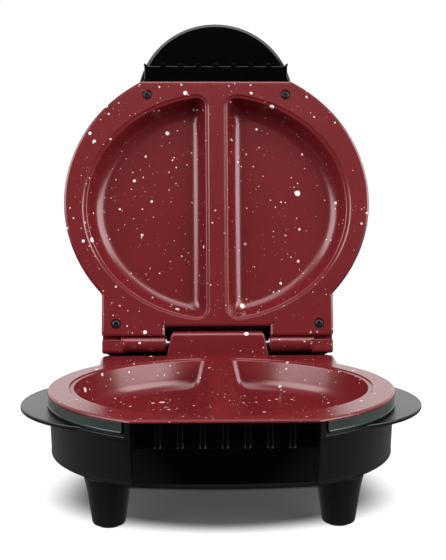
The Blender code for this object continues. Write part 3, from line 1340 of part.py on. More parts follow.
def build():
    for leftover in list(bpy.data.objects):
        bpy.data.objects.remove(leftover)

    coating = material("speckled_nonstick", (0.22, 0.02, 0.022), 0.42)
    satin = material("satin_black_plastic", (0.012, 0.012, 0.013), 0.45)
    gloss = material("gloss_black_plastic", (0.006, 0.006, 0.007), 0.18)
    rubber = material("black_rubber", (0.01, 0.01, 0.01), 0.9)
    steel = material("bright_steel", (0.55, 0.55, 0.57), 0.3, 1.0)
    black_steel = material("blackened_steel", (0.03, 0.03, 0.03), 0.35, 0.6)
    sheath = material("element_sheath", (0.28, 0.26, 0.24), 0.5, 1.0)
    ceramic = material("ceramic", (0.75, 0.72, 0.66), 0.5)
    red_lens = material("red_lens", (0.5, 0.01, 0.01), 0.1)
    green_lens = material("green_lens", (0.02, 0.4, 0.05), 0.1)
    glass = material("lamp_glass", (0.8, 0.6, 0.5), 0.05)

    origin = bpy.data.objects.new("worktop", None)
    hinge = bpy.data.objects.new("lid_hinge", None)
    for empty in (origin, hinge):
        bpy.context.scene.collection.objects.link(empty)
    hinge.parent = origin
    hinge.location = (0, 0, HINGE_HEIGHT)
    hinge.rotation_euler = (-math.radians(OPEN_DEGREES), 0, 0)

    base_shell(satin, origin)
    front_panel(gloss, origin)
    lower_plate(coating, origin)
    for corner, place in corners(FRONT_FOOT, REAR_FOOT).items():
        foot(f"foot_{corner}", place, satin, origin)
        foot_pad(f"foot_pad_{corner}", place, rubber, origin)
    places = corners(FRONT_FOOT, REAR_FOOT)
    screws("foot_screw", places, FOOT_WEB_BOTTOM + FIT, FOOT_SCREW_LENGTH, -1, lower, steel, origin)
    places = corners(LOWER_FRONT_SCREW, REAR_SCREW)
    screws("lower_plate_screw", places, lower_screw_seat() + FIT, LOWER_SCREW_LENGTH, -1, lower, steel, origin)
    pocket = LOWER_POCKET_DEPTH
    clamp_seat = clamp_depth(pocket) + CLAMP_THICKNESS + FIT
    clamp_length = clamp_seat - clamp_screw_reach(pocket)
    element("lower_element", lower, pocket, sheath, origin)
    element_clamp("lower_element_clamp", lower, pocket, steel, origin)
    screws("lower_clamp_screw", clamp_places(), clamp_seat, clamp_length, -1, lower, steel, origin)
    heat_shield("lower_heat_shield", lower, pocket, LOWER_FRONT_SCREW, LOWER_SHIELD_FRONT, steel, origin)
    thermostat(ceramic, origin)
    thermal_fuse(steel, origin)
    fuse_clip(steel, origin)
    terminal_block(ceramic, origin)
    terminal_screws(steel, origin)
    cord_gland(satin, origin)
    hinge_pin(steel, origin)
    hinge_clip("hinge_clip_right", 1, steel, origin)
    hinge_clip("hinge_clip_left", -1, steel, origin)

    lid_shell(gloss, hinge)
    upper_plate(coating, hinge)
    seat = SCREW_SINK + SCREW_HEAD_DEPTH - FIT
    places = corners(UPPER_FRONT_SCREW, REAR_SCREW)
    screws("upper_plate_screw", places, seat, UPPER_SCREW_LENGTH, 1, upper, black_steel, hinge)
    pocket = UPPER_POCKET_DEPTH
    clamp_seat = clamp_depth(pocket) + CLAMP_THICKNESS + FIT
    clamp_length = clamp_seat - clamp_screw_reach(pocket)
    element("upper_element", upper, pocket, sheath, hinge)
    element_clamp("upper_element_clamp", upper, pocket, steel, hinge)
    screws("upper_clamp_screw", clamp_places(), clamp_seat, clamp_length, -1, upper, steel, hinge)
    heat_shield("upper_heat_shield", upper, pocket, UPPER_FRONT_SCREW, UPPER_SHIELD_FRONT, steel, hinge)
    indicator_lens("power_lens", -1, red_lens, hinge)
    indicator_lens("ready_lens", 1, green_lens, hinge)
    indicator_lamp("power_lamp", -1, glass, hinge)
    indicator_lamp("ready_lamp", 1, glass, hinge)

    stand_on_worktop(origin)


build()
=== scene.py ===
"""Countertop omelette maker with two hinged, flecked plates, dressed and lit in a white studio.

Shapes are written in millimetres in the cooker's own plan: x across, forward from the hinge axis, and a
depth behind the working face of a plate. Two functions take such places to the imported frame, one for the
lower half and one for the open lid.
"""

import json
import math

import bmesh
import bpy
import numpy as np
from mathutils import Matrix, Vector


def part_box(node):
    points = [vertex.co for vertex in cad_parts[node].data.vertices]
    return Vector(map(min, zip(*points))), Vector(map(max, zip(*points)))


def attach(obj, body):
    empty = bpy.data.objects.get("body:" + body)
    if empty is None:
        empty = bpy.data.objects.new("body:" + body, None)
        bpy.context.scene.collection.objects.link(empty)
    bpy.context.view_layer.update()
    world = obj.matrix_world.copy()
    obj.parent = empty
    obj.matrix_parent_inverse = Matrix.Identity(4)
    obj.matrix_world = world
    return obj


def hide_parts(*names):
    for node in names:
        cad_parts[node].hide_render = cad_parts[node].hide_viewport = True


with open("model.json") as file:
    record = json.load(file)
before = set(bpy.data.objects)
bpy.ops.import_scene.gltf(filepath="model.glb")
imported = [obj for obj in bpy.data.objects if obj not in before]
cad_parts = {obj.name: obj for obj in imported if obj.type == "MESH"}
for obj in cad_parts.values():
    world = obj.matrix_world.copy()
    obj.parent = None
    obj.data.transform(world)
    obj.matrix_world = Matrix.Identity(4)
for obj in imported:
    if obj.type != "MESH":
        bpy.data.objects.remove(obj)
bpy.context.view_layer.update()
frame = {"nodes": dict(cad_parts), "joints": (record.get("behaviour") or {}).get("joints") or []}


# Studio
# The cooker stands on a white table before a white wall, under large soft lamps.
# The camera stands a little left of the middle, about level with the lid's handle, and looks slightly down.

image_height = 560.0
focal_pixels = 1263.3
sensor = 36.0
camera_place = (-0.0185, -0.7594, 0.2249)
camera_pitch = -0.1386
camera_yaw = -0.0272
# Each lamp: place, the point it faces, width, height, watts
lamps = {
    "overhead_softbox": ((0.0, -0.3, 1.35), (0.0, 0.0, 0.1), 0.9, 0.9, 7.0),
    "left_softbox": ((-1.36, -0.55, 0.95), (0.0, 0.0, 0.2), 1.6, 1.0, 30.0),
    "right_softbox": ((1.28, -0.68, 0.9), (0.0, 0.0, 0.2), 1.6, 1.0, 32.0),
    "high_softbox": ((0.1, -0.9, 1.4), (0.0, 0.0, 0.1), 1.5, 0.5, 8.0),
}
# The room as the gloss mirrors it: dim before the cooker, lighter beside it, bright behind it, with soft
# edges between at these heights of a direction's y
wall_before, wall_beside, wall_behind = 0.015, 0.3, 1.25
beside_start, beside_end = -0.75, -0.35
behind_start, behind_end = 0.5, 0.9
ambient = 0.12
table_reach = 6.0
table_in_shade = "#606060"
table_elsewhere = "#3c3c3c"
table_mirrored = "#101010"
table_glow = 1.0
table_far_glow = 0.22
far_start, far_end = -0.3, -0.05
# A painted shadow on the table: the glow that the camera sees dips in an oval that reaches further back than
# forward of its middle
painted_shadow_glow = 0.065
painted_shadow_start, painted_shadow_end = 0.68, 1.02
painted_shadow_middle = -0.05
painted_shadow_half_width = 0.107
painted_shadow_front = 0.0725
painted_shadow_back = 0.12
white = (1, 1, 1, 1)


def linear(colour):
    """An sRGB hex colour as linear red, green, blue and an alpha of one."""
    parts = [int(colour[k : k + 2], 16) / 255 for k in (1, 3, 5)]
    return tuple(((c + 0.055) / 1.055) ** 2.4 if c > 0.04045 else c / 12.92 for c in parts) + (1.0,)


def plug(node, inputs):
    """Fills a node's inputs, named or in order: a node or one of its outputs is joined, all else is set."""
    for socket, source in inputs.items() if isinstance(inputs, dict) else enumerate(inputs):
        if isinstance(source, bpy.types.Node):
            source = next(output for output in source.outputs if output.enabled)
        if isinstance(source, bpy.types.NodeSocket):
            node.id_data.links.new(source, node.inputs[socket])
        else:
            node.inputs[socket].default_value = source


def add_node(tree, kind, inputs=None, **settings):
    """Adds a node with its own settings and fills its inputs."""
    made = tree.nodes.new("ShaderNode" + kind)
    for name, value in settings.items():
        setattr(made, name, value)
    plug(made, inputs or {})
    return made


camera = bpy.data.objects.new("camera", bpy.data.cameras.new("camera"))
bpy.context.scene.collection.objects.link(camera)
camera.location = camera_place
camera.rotation_euler = (math.pi / 2 + camera_pitch, 0, camera_yaw)
camera.data.sensor_width = sensor
camera.data.lens = focal_pixels * sensor / image_height
bpy.context.scene.camera = camera
bpy.context.scene.view_settings.view_transform = "Standard"

for lamp_name, (place, aim, width, height, watts) in lamps.items():
    lamp = bpy.data.lights.new(lamp_name, "AREA")
    lamp.shape = "RECTANGLE"
    lamp.size = width
    lamp.size_y = height
    lamp.energy = watts
    holder = bpy.data.objects.new(lamp_name, lamp)
    bpy.context.scene.collection.objects.link(holder)
    holder.location = place
    holder.rotation_euler = (Vector(aim) - Vector(place)).to_track_quat("-Z", "Y").to_euler()

world = bpy.data.worlds.new("white_studio")
world.use_nodes = True
tree = world.node_tree
tree.nodes.clear()
rays = add_node(tree, "LightPath").outputs
way = add_node(tree, "SeparateXYZ", [add_node(tree, "TexCoord").outputs["Generated"]]).outputs
wall = add_node(tree, "MapRange", (way["Y"], beside_start, beside_end, wall_before, wall_beside))
wall = add_node(tree, "MapRange", (way["Y"], behind_start, behind_end, wall, wall_behind))
mirrored = add_node(tree, "Math", (rays["Is Glossy Ray"], wall), operation="MULTIPLY")
plain = add_node(tree, "Math", (rays["Is Diffuse Ray"], ambient), operation="MULTIPLY")
strength = rays["Is Camera Ray"]
for part in (rays["Is Transmission Ray"], mirrored, plain):
    strength = add_node(tree, "Math", (strength, part), operation="MAXIMUM")
sky = add_node(tree, "Background", (white, strength))
add_node(tree, "OutputWorld", {"Surface": sky})
bpy.context.scene.world = world

table_look = bpy.data.materials.new("white_table")
table_look.use_nodes = True
tree = table_look.node_tree
tree.nodes.clear()
rays = add_node(tree, "LightPath").outputs
spot = add_node(tree, "SeparateXYZ", [add_node(tree, "TexCoord").outputs["Object"]]).outputs
across = add_node(tree, "Math", (spot["X"], painted_shadow_half_width), operation="DIVIDE")
forward = add_node(tree, "Math", (spot["Y"], painted_shadow_middle), operation="SUBTRACT")
back = add_node(tree, "Math", (forward, painted_shadow_back), operation="DIVIDE")
front = add_node(tree, "Math", (forward, -painted_shadow_front), operation="DIVIDE")
along = add_node(tree, "Math", (back, front), operation="MAXIMUM")
away = add_node(tree, "CombineXYZ", (across, along))
away = add_node(tree, "VectorMath", [away], operation="LENGTH")
# Painted shadow: the camera's glow is least inside the oval and full white outside it
glow_with_painted_shadow = (away, painted_shadow_start, painted_shadow_end, painted_shadow_glow, table_glow)
glow_with_painted_shadow = add_node(tree, "MapRange", glow_with_painted_shadow, interpolation_type="SMOOTHSTEP")
glow = add_node(tree, "Math", (rays["Is Camera Ray"], glow_with_painted_shadow), operation="MULTIPLY")
far = add_node(tree, "MapRange", (spot["Y"], far_start, far_end, 0, table_far_glow))
far = add_node(tree, "Math", (rays["Is Glossy Ray"], far), operation="MULTIPLY")
glow = add_node(tree, "Math", (glow, far), operation="ADD")
shade = {"Factor": rays["Is Camera Ray"], "A": linear(table_elsewhere), "B": linear(table_in_shade)}
shade = add_node(tree, "Mix", shade, data_type="RGBA")
shade = {"Factor": rays["Is Glossy Ray"], "A": shade, "B": linear(table_mirrored)}
matt = add_node(tree, "BsdfDiffuse", {"Color": add_node(tree, "Mix", shade, data_type="RGBA")})
lit = add_node(tree, "Emission", (white, glow))
add_node(tree, "OutputMaterial", {"Surface": add_node(tree, "AddShader", (matt, lit))})

table_mesh = bpy.data.meshes.new("table")
corners = [(x * table_reach, y * table_reach, 0) for x, y in ((-1, -1), (1, -1), (1, 1), (-1, 1))]
table_mesh.from_pydata(corners, [], [(0, 1, 2, 3)])
table_mesh.materials.append(table_look)
table = bpy.data.objects.new("table", table_mesh)
bpy.context.scene.collection.objects.link(table)


# Hinge line
# A steel pin joins the two halves. Every piece of the lower half is placed from the pin and the lower
# plate's face, and every piece of the lid is drawn shut and turned open about the pin.

MM = 0.001
hinge = frame["joints"][0]
hinge_y = hinge["pos_m"][1] / MM
hinge_z = hinge["pos_m"][2] / MM
open_turn = math.radians(hinge["range_deg"][1])
axis_rise = 7.0
parting_gap = 0.5


def on_base(x, forward, depth):
    """Places on the lower half, from x, forward of the hinge axis and below the lower plate's face."""
    x, forward, depth = np.broadcast_arrays(x, forward, depth)
    return np.stack([x, hinge_y - forward, hinge_z - axis_rise - depth], -1) * MM


def on_lid(x, forward, depth):
    """Places on the lid, from x, forward of the hinge axis and behind the upper plate's face, turned open."""
    x, forward, depth = np.broadcast_arrays(x, forward, depth)
    height = depth - axis_rise + parting_gap
    y = -forward * math.cos(open_turn) + height * math.sin(open_turn)
    z = forward * math.sin(open_turn) + height * math.cos(open_turn)
    return np.stack([x, hinge_y + y, hinge_z + z], -1) * MM


def skin(name, grids):
    """One mesh object from grids of points of shape (rows, columns, 3), each joined square by square.
    Points that meet are merged, so that grids which share an edge become one closed surface."""
    points, faces, start = [], [], 0
    for grid in grids:
        rows, columns = grid.shape[:2]
        index = start + np.arange(rows * columns).reshape(rows, columns)
        square = [index[:-1, :-1], index[:-1, 1:], index[1:, 1:], index[1:, :-1]]
        faces.append(np.stack(square, -1).reshape(-1, 4))
        points.append(grid.reshape(-1, 3))
        start += rows * columns
    mesh = bpy.data.meshes.new(name)
    mesh.from_pydata(np.concatenate(points).tolist(), [], np.concatenate(faces).tolist())
    shell = bmesh.new()
    shell.from_mesh(mesh)
    bmesh.ops.remove_doubles(shell, verts=shell.verts, dist=0.002 * MM)
    bmesh.ops.recalc_face_normals(shell, faces=shell.faces)
    shell.to_mesh(mesh)
    shell.free()
    made = bpy.data.objects.new(name, mesh)
    bpy.context.scene.collection.objects.link(made)
    return made


def loop(grid):
    """A grid whose last column is joined to its first."""
    return np.concatenate([grid, grid[:, :1]], axis=1)


def rounded(corners, steps=5, closed=False, guard=0.05):
    """A line through corners, the last number of each its radius, which is turned into an arc that touches
    both legs: its centre is on the corner's bisector, a radius over the sine of half the angle away. A guard
    point on each leg beside the arc keeps the shading of the flats flat."""
    corners = np.asarray(corners, float)
    corners, radii = corners[:, :-1], corners[:, -1]
    line = []
    for k, radius in enumerate(radii):
        here = corners[k]
        if radius == 0 or (not closed and k in (0, len(corners) - 1)):
            line.append(here[None])
            continue
        back = corners[k - 1] - here
        ahead = corners[(k + 1) % len(corners)] - here
        back = back / np.linalg.norm(back)
        ahead = ahead / np.linalg.norm(ahead)
        half = math.acos(np.clip(back @ ahead, -1, 1)) / 2
        reach = radius / math.tan(half)
        middle = here + (back + ahead) / np.linalg.norm(back + ahead) * radius / math.sin(half)
        first = (here + back * reach - middle) / radius
        last = (here + ahead * reach - middle) / radius
        span = math.pi - 2 * half
        second = (last - first * math.cos(span)) / math.sin(span)
        turn = np.linspace(0, span, steps + 1)[:, None]
        bend = middle + radius * (first * np.cos(turn) + second * np.sin(turn))
        line.append(np.concatenate([[bend[0] + back * guard], bend, [bend[-1] + ahead * guard]]))
    return np.concatenate(line)


def capped(rows, place):
    """A closed solid through rows of rings of (x, forward, depth), each end drawn in to its middle."""
    rows = np.asarray(rows, float)
    middles = np.repeat(rows[[0, -1]].mean(axis=1, keepdims=True), rows.shape[1], axis=1)
    rows = loop(np.concatenate([middles[:1], rows, middles[1:]]))
    return place(rows[..., 0], rows[..., 1], rows[..., 2])


def turned(profile, centre, place, steps=64):
    """A surface turned about an axis along the depth: each (radius, depth) of a profile is a circle."""
    turn = np.linspace(0, 2 * math.pi, steps + 1)
    profile = np.asarray(profile, float)
    radius, depth = profile[:, :1], profile[:, 1:]
    return place(centre[0] + radius * np.cos(turn), centre[1] + radius * np.sin(turn), depth)


def carve(piece, grids, operation="DIFFERENCE"):
    """Cuts closed shapes out of a piece, or joins them to it, and keeps the result as its mesh."""
    cutter = skin(piece.name + "_cutter", grids)
    modifier = piece.modifiers.new("cut", "BOOLEAN")
    modifier.operation = operation
    modifier.object = cutter
    graph = bpy.context.evaluated_depsgraph_get()
    made = bpy.data.meshes.new_from_object(piece.evaluated_get(graph))
    piece.modifiers.clear()
    piece.data = made
    bpy.data.objects.remove(cutter)


def dress(piece, coat, body, *stands_for, crease=32.0):
    """Gives a piece the material of its coat, soft shading between creases, and its body; the coat's slot
    name is not used.
    """
    look, slot = coat
    piece.data.materials.clear()
    piece.data.materials.append(look)
    piece.data.shade_smooth()
    piece.data.set_sharp_from_angle(angle=math.radians(crease))
    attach(piece, body)
    if stands_for:
        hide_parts(*stands_for)
    return piece


# Cast cooking plates
# Two die-cast aluminium plates with a pair of half-moon pockets each. They are sprayed with a wine-red
# non-stick coating, spattered with cream flecks, and cured to a satin that shows a faint orange peel.

low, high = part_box("lower_plate")
plate_half_width = high.x / MM
plate_front = hinge_y - low.y / MM
plate_half_depth = 92.5
plate_rear = 4.3
# (inset, depth, rounding) from the flat land over the chamfered rim to the underside
edge_corners = ((2.2, 0.0, 0), (1.45, 0.0, 0.35), (0.3, 0.6, 0.5), (0.0, 1.5, 0.35), (0.25, 1.8, 0))
neck_half_width = 75.0
neck_corner = 2.0
neck_fillet = 3.0
front_corner = 2.5
front_slice = 12.1
plate_centre = plate_front - plate_half_depth + front_slice
notch_half_width = 34.0
notch_front = 10.6

pocket_half_width = plate_half_width - 12.0
pocket_half_depth = plate_half_depth - 16.5
pocket_centre = plate_centre - 3.6
pocket_corner = 8.8
pocket_floor_corner = 5.0
divider_half_width = 4.9
end_share = 0.79
straight_share = 0.76
upper_pocket_depth = 14.5
lower_pocket_depth = 19.2
bowl_floor = 2.0
pocket_middle = (37.0, pocket_centre)
stations = 400
table_points = 2001
matching_points = 8001
turning_weight = 0.8


def oval(turn, inset, offset, size=(plate_half_width, plate_half_depth), centre=plate_centre):
    """A place on an oval, the plate's if no other is given, at an inset and then moved out along its normal,
    and the direction of that normal."""
    half_width, half_depth = (half - inset for half in size)
    facing = np.arctan2(np.sin(turn) / half_depth, np.cos(turn) / half_width)
    x = half_width * np.cos(turn) + offset * np.cos(facing)
    return x, centre + half_depth * np.sin(turn) + offset * np.sin(facing), facing


def arc(centre, radius, start, end, steps):
    """Points of a circle's arc, both ends included."""
    turn = np.linspace(start, end, steps + 1)
    return np.stack([centre[0] + radius * np.cos(turn), centre[1] + radius * np.sin(turn)], -1)


def straight(start, end, steps):
    """Points of a straight run, without its last one."""
    share = np.linspace(0, 1, steps + 1)[:-1, None]
    return np.asarray(start) * (1 - share) + np.asarray(end) * share


def half_outline(inset=0.0, rear=plate_rear, neck=neck_half_width, corner=neck_corner, bow=0.0, notch=0.0):
    """Plan of the right half of a plate or shell, from the middle of its rear edge to that of its front: a
    straight rear, a neck, an oval side and a front edge that bows out as one less its share squared."""
    front = plate_front - inset
    neck = neck - inset
    rear = rear + inset
    turns = np.linspace(-math.pi / 2, 0, table_points)
    join = np.interp(neck + neck_fillet, oval(turns, inset, neck_fillet)[0], turns)
    turns = np.linspace(0, math.pi / 2, table_points)
    shoulder = np.interp(front - front_corner, oval(turns, inset, -front_corner)[1], turns)
    x, forward, facing = oval(join, inset, neck_fillet)
    side_x, side_forward, side_facing = oval(shoulder, inset, -front_corner)
    share = np.linspace(1, 0, 41)[1:]
    step = notch_half_width + inset if notch else (neck - corner) / 2
    first = (0, notch_front + inset) if notch else (0, rear)
    runs = [
        straight(first, (step, first[1]), 20),
        straight((step, first[1]), (step, rear), 6),
        straight((step, rear), (neck - corner, rear), 20),
        arc((neck - corner, rear + corner), corner, -math.pi / 2, 0, 8),
        arc((x, forward), neck_fillet, math.pi, facing + math.pi, 8),
        np.stack(oval(np.linspace(join, shoulder, 121)[1:-1], inset, 0)[:2], -1),
        arc((side_x, side_forward), front_corner, side_facing, math.pi / 2, 8),
        np.stack([side_x * share, front + bow * (1 - share**2)], -1),
    ]
    return np.concatenate(runs)


def whole_outline(**plan):
    """Both halves of a plan as one ring."""
    half = half_outline(**plan)
    return np.concatenate([half, half[-2:0:-1] * (-1, 1)])


def pocket_ring(inset):
    """Plan of one pocket at an inset from its rim: an oval cut by the divider, with rounded corners. It
    starts and ends at the middle of the straight wall."""
    radius = max(pocket_corner - inset, pocket_floor_corner)
    half_width = pocket_half_width - inset - radius
    half_depth = pocket_half_depth - inset * end_share - radius
    wall = divider_half_width + inset * straight_share
    end = math.acos((wall + radius) / half_width)
    turn = np.linspace(-end, end, 241)
    x, forward, facing = oval(turn, 0, radius, (half_width, half_depth), pocket_centre)
    tip = half_depth * math.sin(end)
    front = arc((wall + radius, pocket_centre + tip), radius, facing[-1], math.pi, 24)[1:]
    rear = (front * (1, -1) + (0, 2 * pocket_centre))[::-1]
    down = straight((wall, pocket_centre), (wall, pocket_centre - tip), 60)
    up = (down * (1, -1) + (0, 2 * pocket_centre))[::-1]
    return np.concatenate([down, rear, np.stack([x, forward], -1), front[:-1], up])


def at(line, index):
    """Places on a line of points at indexes that may fall between two of them."""
    lower = np.clip(np.floor(index).astype(int), 0, len(line) - 2)
    share = (index - lower)[:, None]
    return line[lower] * (1 - share) + line[lower + 1] * share


def plate_ring(inset, notch):
    """Plan of the right half of a plate as a ring back along the middle line, started at its middle."""
    half = half_outline(inset, notch=notch)
    middle = (0, pocket_centre)
    down = straight(middle, half[0], 40)
    up = straight(half[-1], middle, 40)
    return np.concatenate([down, half, up[1:], [middle]]), (40, 40 + len(half) - 1)


def matched(notch):
    """Indexes on the pocket's ring and on the plate's that lie in one direction from the pocket's middle, set
    evenly along the length and the turning of both lines together, so that corners get more of them."""
    even = np.linspace(math.pi, 3 * math.pi, matching_points)
    effort = np.zeros_like(even)
    indexes = []
    plate, ends = plate_ring(0.0, notch)
    for line in (pocket_ring(0.0), plate):
        away = line - pocket_middle
        angle = np.unwrap(np.arctan2(away[:, 1], away[:, 0]))
        angle = angle - angle[0] + math.pi
        step = np.diff(line, axis=0)
        heading = np.unwrap(np.arctan2(step[:, 1], step[:, 0]))
        turning = np.concatenate([[0], np.cumsum(np.abs(np.diff(heading))), [0]])
        turning[-1] = turning[-2]
        length = np.concatenate([[0], np.cumsum(np.hypot(*step.T))])
        effort += np.interp(even, angle, length / length[-1] + turning_weight * turning / turning[-1])
        indexes.append((angle, np.arange(len(line))))
    chosen = np.interp(np.linspace(0, effort[-1], stations), effort, even)
    on_pocket, on_plate = (np.interp(chosen, angle, index) for angle, index in indexes)
    for end in ends:
        on_plate[np.argmin(np.abs(on_plate - end))] = end
    return on_pocket, on_plate, ends


def level(line, depth):
    """A plan's points, all at one depth."""
    return np.column_stack([line, np.full(len(line), depth)])


def plate_grids(place, notch, depth):
    """Both halves of a plate: pockets, land, rounded edge, underside and bowls, as grids of station by row.
    A row of the pocket is its ring at the inset and depth of the wall's rounded profile."""
    # (inset, depth, rounding) at each corner of the pocket's wall, from the land round it to its flat floor
    ledge = ((-0.9, 0.0, 0), (0.0, 0.0, 0.25), (0.85, 0.6, 0.25), (3.05, 0.9, 1.0))
    wall = (*ledge, (9.0, depth, 10.0), (16.0, depth, 0))
    below = depth + bowl_floor
    bowl = ((-2.0, 1.8, 0), (0.4, 3.5, 1.0), (6.6, below, 4.0), (10.5, below, 0))
    on_pocket, on_plate, ends = matched(notch)
    rim = slice(*(int(np.argmin(np.abs(on_plate - end))) + k for k, end in enumerate(ends)))

    def pocket_rows(corners, towards):
        """Rows down the pocket's profile, then rows drawn in towards its middle."""
        rows = [level(at(pocket_ring(inset), on_pocket), depth) for inset, depth in rounded(corners, 7)]
        middle = np.array([*pocket_middle, rows[-1][0, 2]])
        return rows + [middle + (rows[-1] - middle) * share for share in towards]

    def plate_rows(pairs):
        """Rows round the plate, one for each (inset, depth)."""
        return [level(at(plate_ring(inset, notch)[0], on_plate), depth) for inset, depth in pairs]

    edge = rounded(edge_corners)
    top = np.array(plate_rows(edge[:1]) + pocket_rows(wall, (0.9, 0.5, 0.0)))
    side = np.array(plate_rows(edge))[:, rim]
    under = np.array(plate_rows(edge[-1:]) + pocket_rows(bowl, (0.5, 0.0)))
    halves = [(grid, half) for grid in (top, side, under) for half in (1, -1)]
    return [place(half * grid[..., 0], grid[..., 1], grid[..., 2]) for grid, half in halves]


red_lacquer = "#6b1e23"
red_deep = "#5e181c"
shine_tint = "#ffe7e7"
fleck_cream = "#f2e2da"
# (spacing of the spatter in millimetres, largest radius of its flecks, how far it covers the red)
spatter = ((3.4, 0.34, 0.35), (4.6, 0.56, 0.8), (9.6, 1.15, 1.0), (18.5, 2.0, 1.0))


def start_look(name, stretch=(1, 1, 1)):
    """A new material: itself, its tree, its shader, and the place on the piece in millimetres, stretched
    along each axis."""
    look = bpy.data.materials.new(name)
    look.use_nodes = True
    tree = look.node_tree
    place = add_node(tree, "TexCoord").outputs["Object"]
    in_mm = add_node(tree, "Mapping", {"Vector": place, "Scale": [size / MM for size in stretch]})
    return look, tree, tree.nodes["Principled BSDF"], in_mm


def flecked_nonstick():
    """Sprayed non-stick lacquer on cast aluminium: a satin wine red with soft broad highlights, drops of
    cream spatter from pin pricks to 4 mm across, and the faint orange peel of a sprayed coat."""
    look, tree, shader, in_mm = start_look("flecked_nonstick_lacquer")
    wobble = add_node(tree, "TexNoise", {"Vector": in_mm, "Scale": 0.9, "Detail": 2.0}).outputs["Color"]
    shift = add_node(tree, "VectorMath", (wobble, (0.5, 0.5, 0.5)), operation="SUBTRACT")
    bent = add_node(tree, "VectorMath", (shift, (0.9, 0.9, 0.9), in_mm), operation="MULTIPLY_ADD")
    gather = add_node(tree, "TexNoise", {"Vector": in_mm, "Scale": 0.055, "Detail": 1.0})
    thick = add_node(tree, "MapRange", (gather, 0.4, 0.62, 0.45, 1))
    cover = 0.0
    for spacing, radius, strength in spatter:
        cells = add_node(tree, "TexVoronoi", {"Vector": bent, "Scale": 1 / spacing}).outputs["Distance"]
        away = add_node(tree, "Math", (cells, thick), operation="DIVIDE")
        edge = radius / spacing
        drop = add_node(tree, "MapRange", (away, edge * 0.75, edge, strength, 0))
        cover = add_node(tree, "Math", (cover, drop), operation="MAXIMUM")
    cloud = add_node(tree, "TexNoise", {"Vector": in_mm, "Scale": 0.035, "Detail": 2.0})
    ground = {"Factor": cloud, "A": linear(red_deep), "B": linear(red_lacquer)}
    ground = add_node(tree, "Mix", ground, data_type="RGBA")
    colour = add_node(tree, "Mix", {"Factor": cover, "A": ground, "B": linear(fleck_cream)}, data_type="RGBA")
    peel = add_node(tree, "TexNoise", {"Vector": in_mm, "Scale": 1.4, "Detail": 3.0})
    bump = add_node(tree, "Bump", {"Height": peel, "Strength": 0.1, "Distance": 0.0002})
    # The coat has no shine where a glossy ray meets it, so the shine of one wall isn't mirrored again in the
    # next and the pocket walls stay darker
    rays = add_node(tree, "LightPath").outputs
    shine = add_node(tree, "MapRange", (rays["Is Glossy Ray"], 0, 1, 0.5, 0))
    plug(shader, {"Base Color": colour, "Normal": bump, "Roughness": 0.24, "IOR": 1.62})
    plug(shader, {"Specular IOR Level": shine, "Specular Tint": linear(shine_tint)})
    return look


nonstick = (flecked_nonstick(), "speckled_coating")
sides = ((1, "right"), (-1, "left"))


def four_corners(front, rear):
    """Places of four like pieces by the names of their corners, from (x, forward) of the two on the right."""
    ends = (("front", front), ("rear", rear))
    return {f"{end}_{name}": (side * x, forward) for end, (x, forward) in ends for side, name in sides}


upper_front_screw = (45.75, plate_front - 9.35)
lower_front_screw = (46.0, plate_front - 12.9)
rear_screw = (neck_half_width - 9.3, plate_rear + 7.9)
screw_places = four_corners(upper_front_screw, rear_screw)
counterbore = rounded(((0.0, 1.7, 0), (3.35, 1.7, 0.2), (3.35, 0.3, 0.15), (4.1, -0.6, 0), (0.0, -0.6, 0)), 3)

upper_plate = skin("upper_plate_casting", plate_grids(on_lid, True, upper_pocket_depth))
carve(upper_plate, [turned(counterbore, place, on_lid, 48) for place in screw_places.values()])
dress(upper_plate, nonstick, "lid", "upper_plate")
lower_plate = skin("lower_plate_casting", plate_grids(on_base, False, lower_pocket_depth))
dress(lower_plate, nonstick, "base", "lower_plate")

boss_radius = 3.8
boss_length = 13.0
boss_start = 1.0
boss_flare = 0.5
clamp_boss_radius = 3.6
clamp_boss_x = 40.0
element_over_floor = 9.22
# Each half: how its places are found, its body, the depth of its pockets, its front screws' place, and how
# deep the hinge axis lies behind its face
lid_lift = axis_rise - parting_gap
halves = {
    "upper": (on_lid, "lid", upper_pocket_depth, upper_front_screw, lid_lift),
    "lower": (on_base, "base", lower_pocket_depth, lower_front_screw, -axis_rise),
}
for half, (place, body, pocket_depth, front_screw, _) in halves.items():
    stands = [(boss_radius, boss_start, boss_length, where) for where in (front_screw, rear_screw)]
    clamp_boss_end = pocket_depth + element_over_floor
    stands.append((clamp_boss_radius, pocket_depth + 1.0, clamp_boss_end, (clamp_boss_x, pocket_centre)))
    bosses = []
    for radius, start, end, (x, forward) in stands:
        profile = ((0, start, 0), (radius + boss_flare, start, 0), (radius, end, 0.3), (0, end, 0))
        bosses += [turned(rounded(profile, 3), (side * x, forward), place, 32) for side, name in sides]
    dress(skin(f"{half}_plate_bosses", bosses), nonstick, body, f"{half}_plate")


# Hinge castings
# The upper plate's rear edge ends in two cast barrels with squarer blocks outside, a small bead where they
# meet, and a recessed web that joins them to the plate. A tapered knuckle stands on the lower plate between.

barrel_radius = 5.6
lug_inner = 34.0
web_outer = 74.4
web_face = 4.5
web_back = 12.0
web_front = 6.9
block_inner = 61.4
block_outer = 74.6
block_low = 6.0
block_high = 5.5
block_back = 6.4
block_front = 2.0
block_edge = 0.7
block_round = 2.0
bead_middle = 60.7
bead_half_width = 1.5
bead_half_height = 4.5
bead_rise = 7.0
bead_forward = -1.05
pin_radius = 2.0
bore_radius = 2.3
bore_reach = neck_half_width + 5
knuckle_half_width = 33.0
knuckle_taper = 3.2
knuckle_height = 14.9
knuckle_front = 6.4
knuckle_rear = 6.0
knuckle_slant = 2.6
knuckle_top_round = 2.6
knuckle_corner = 1.2
deck_depth = 3.0


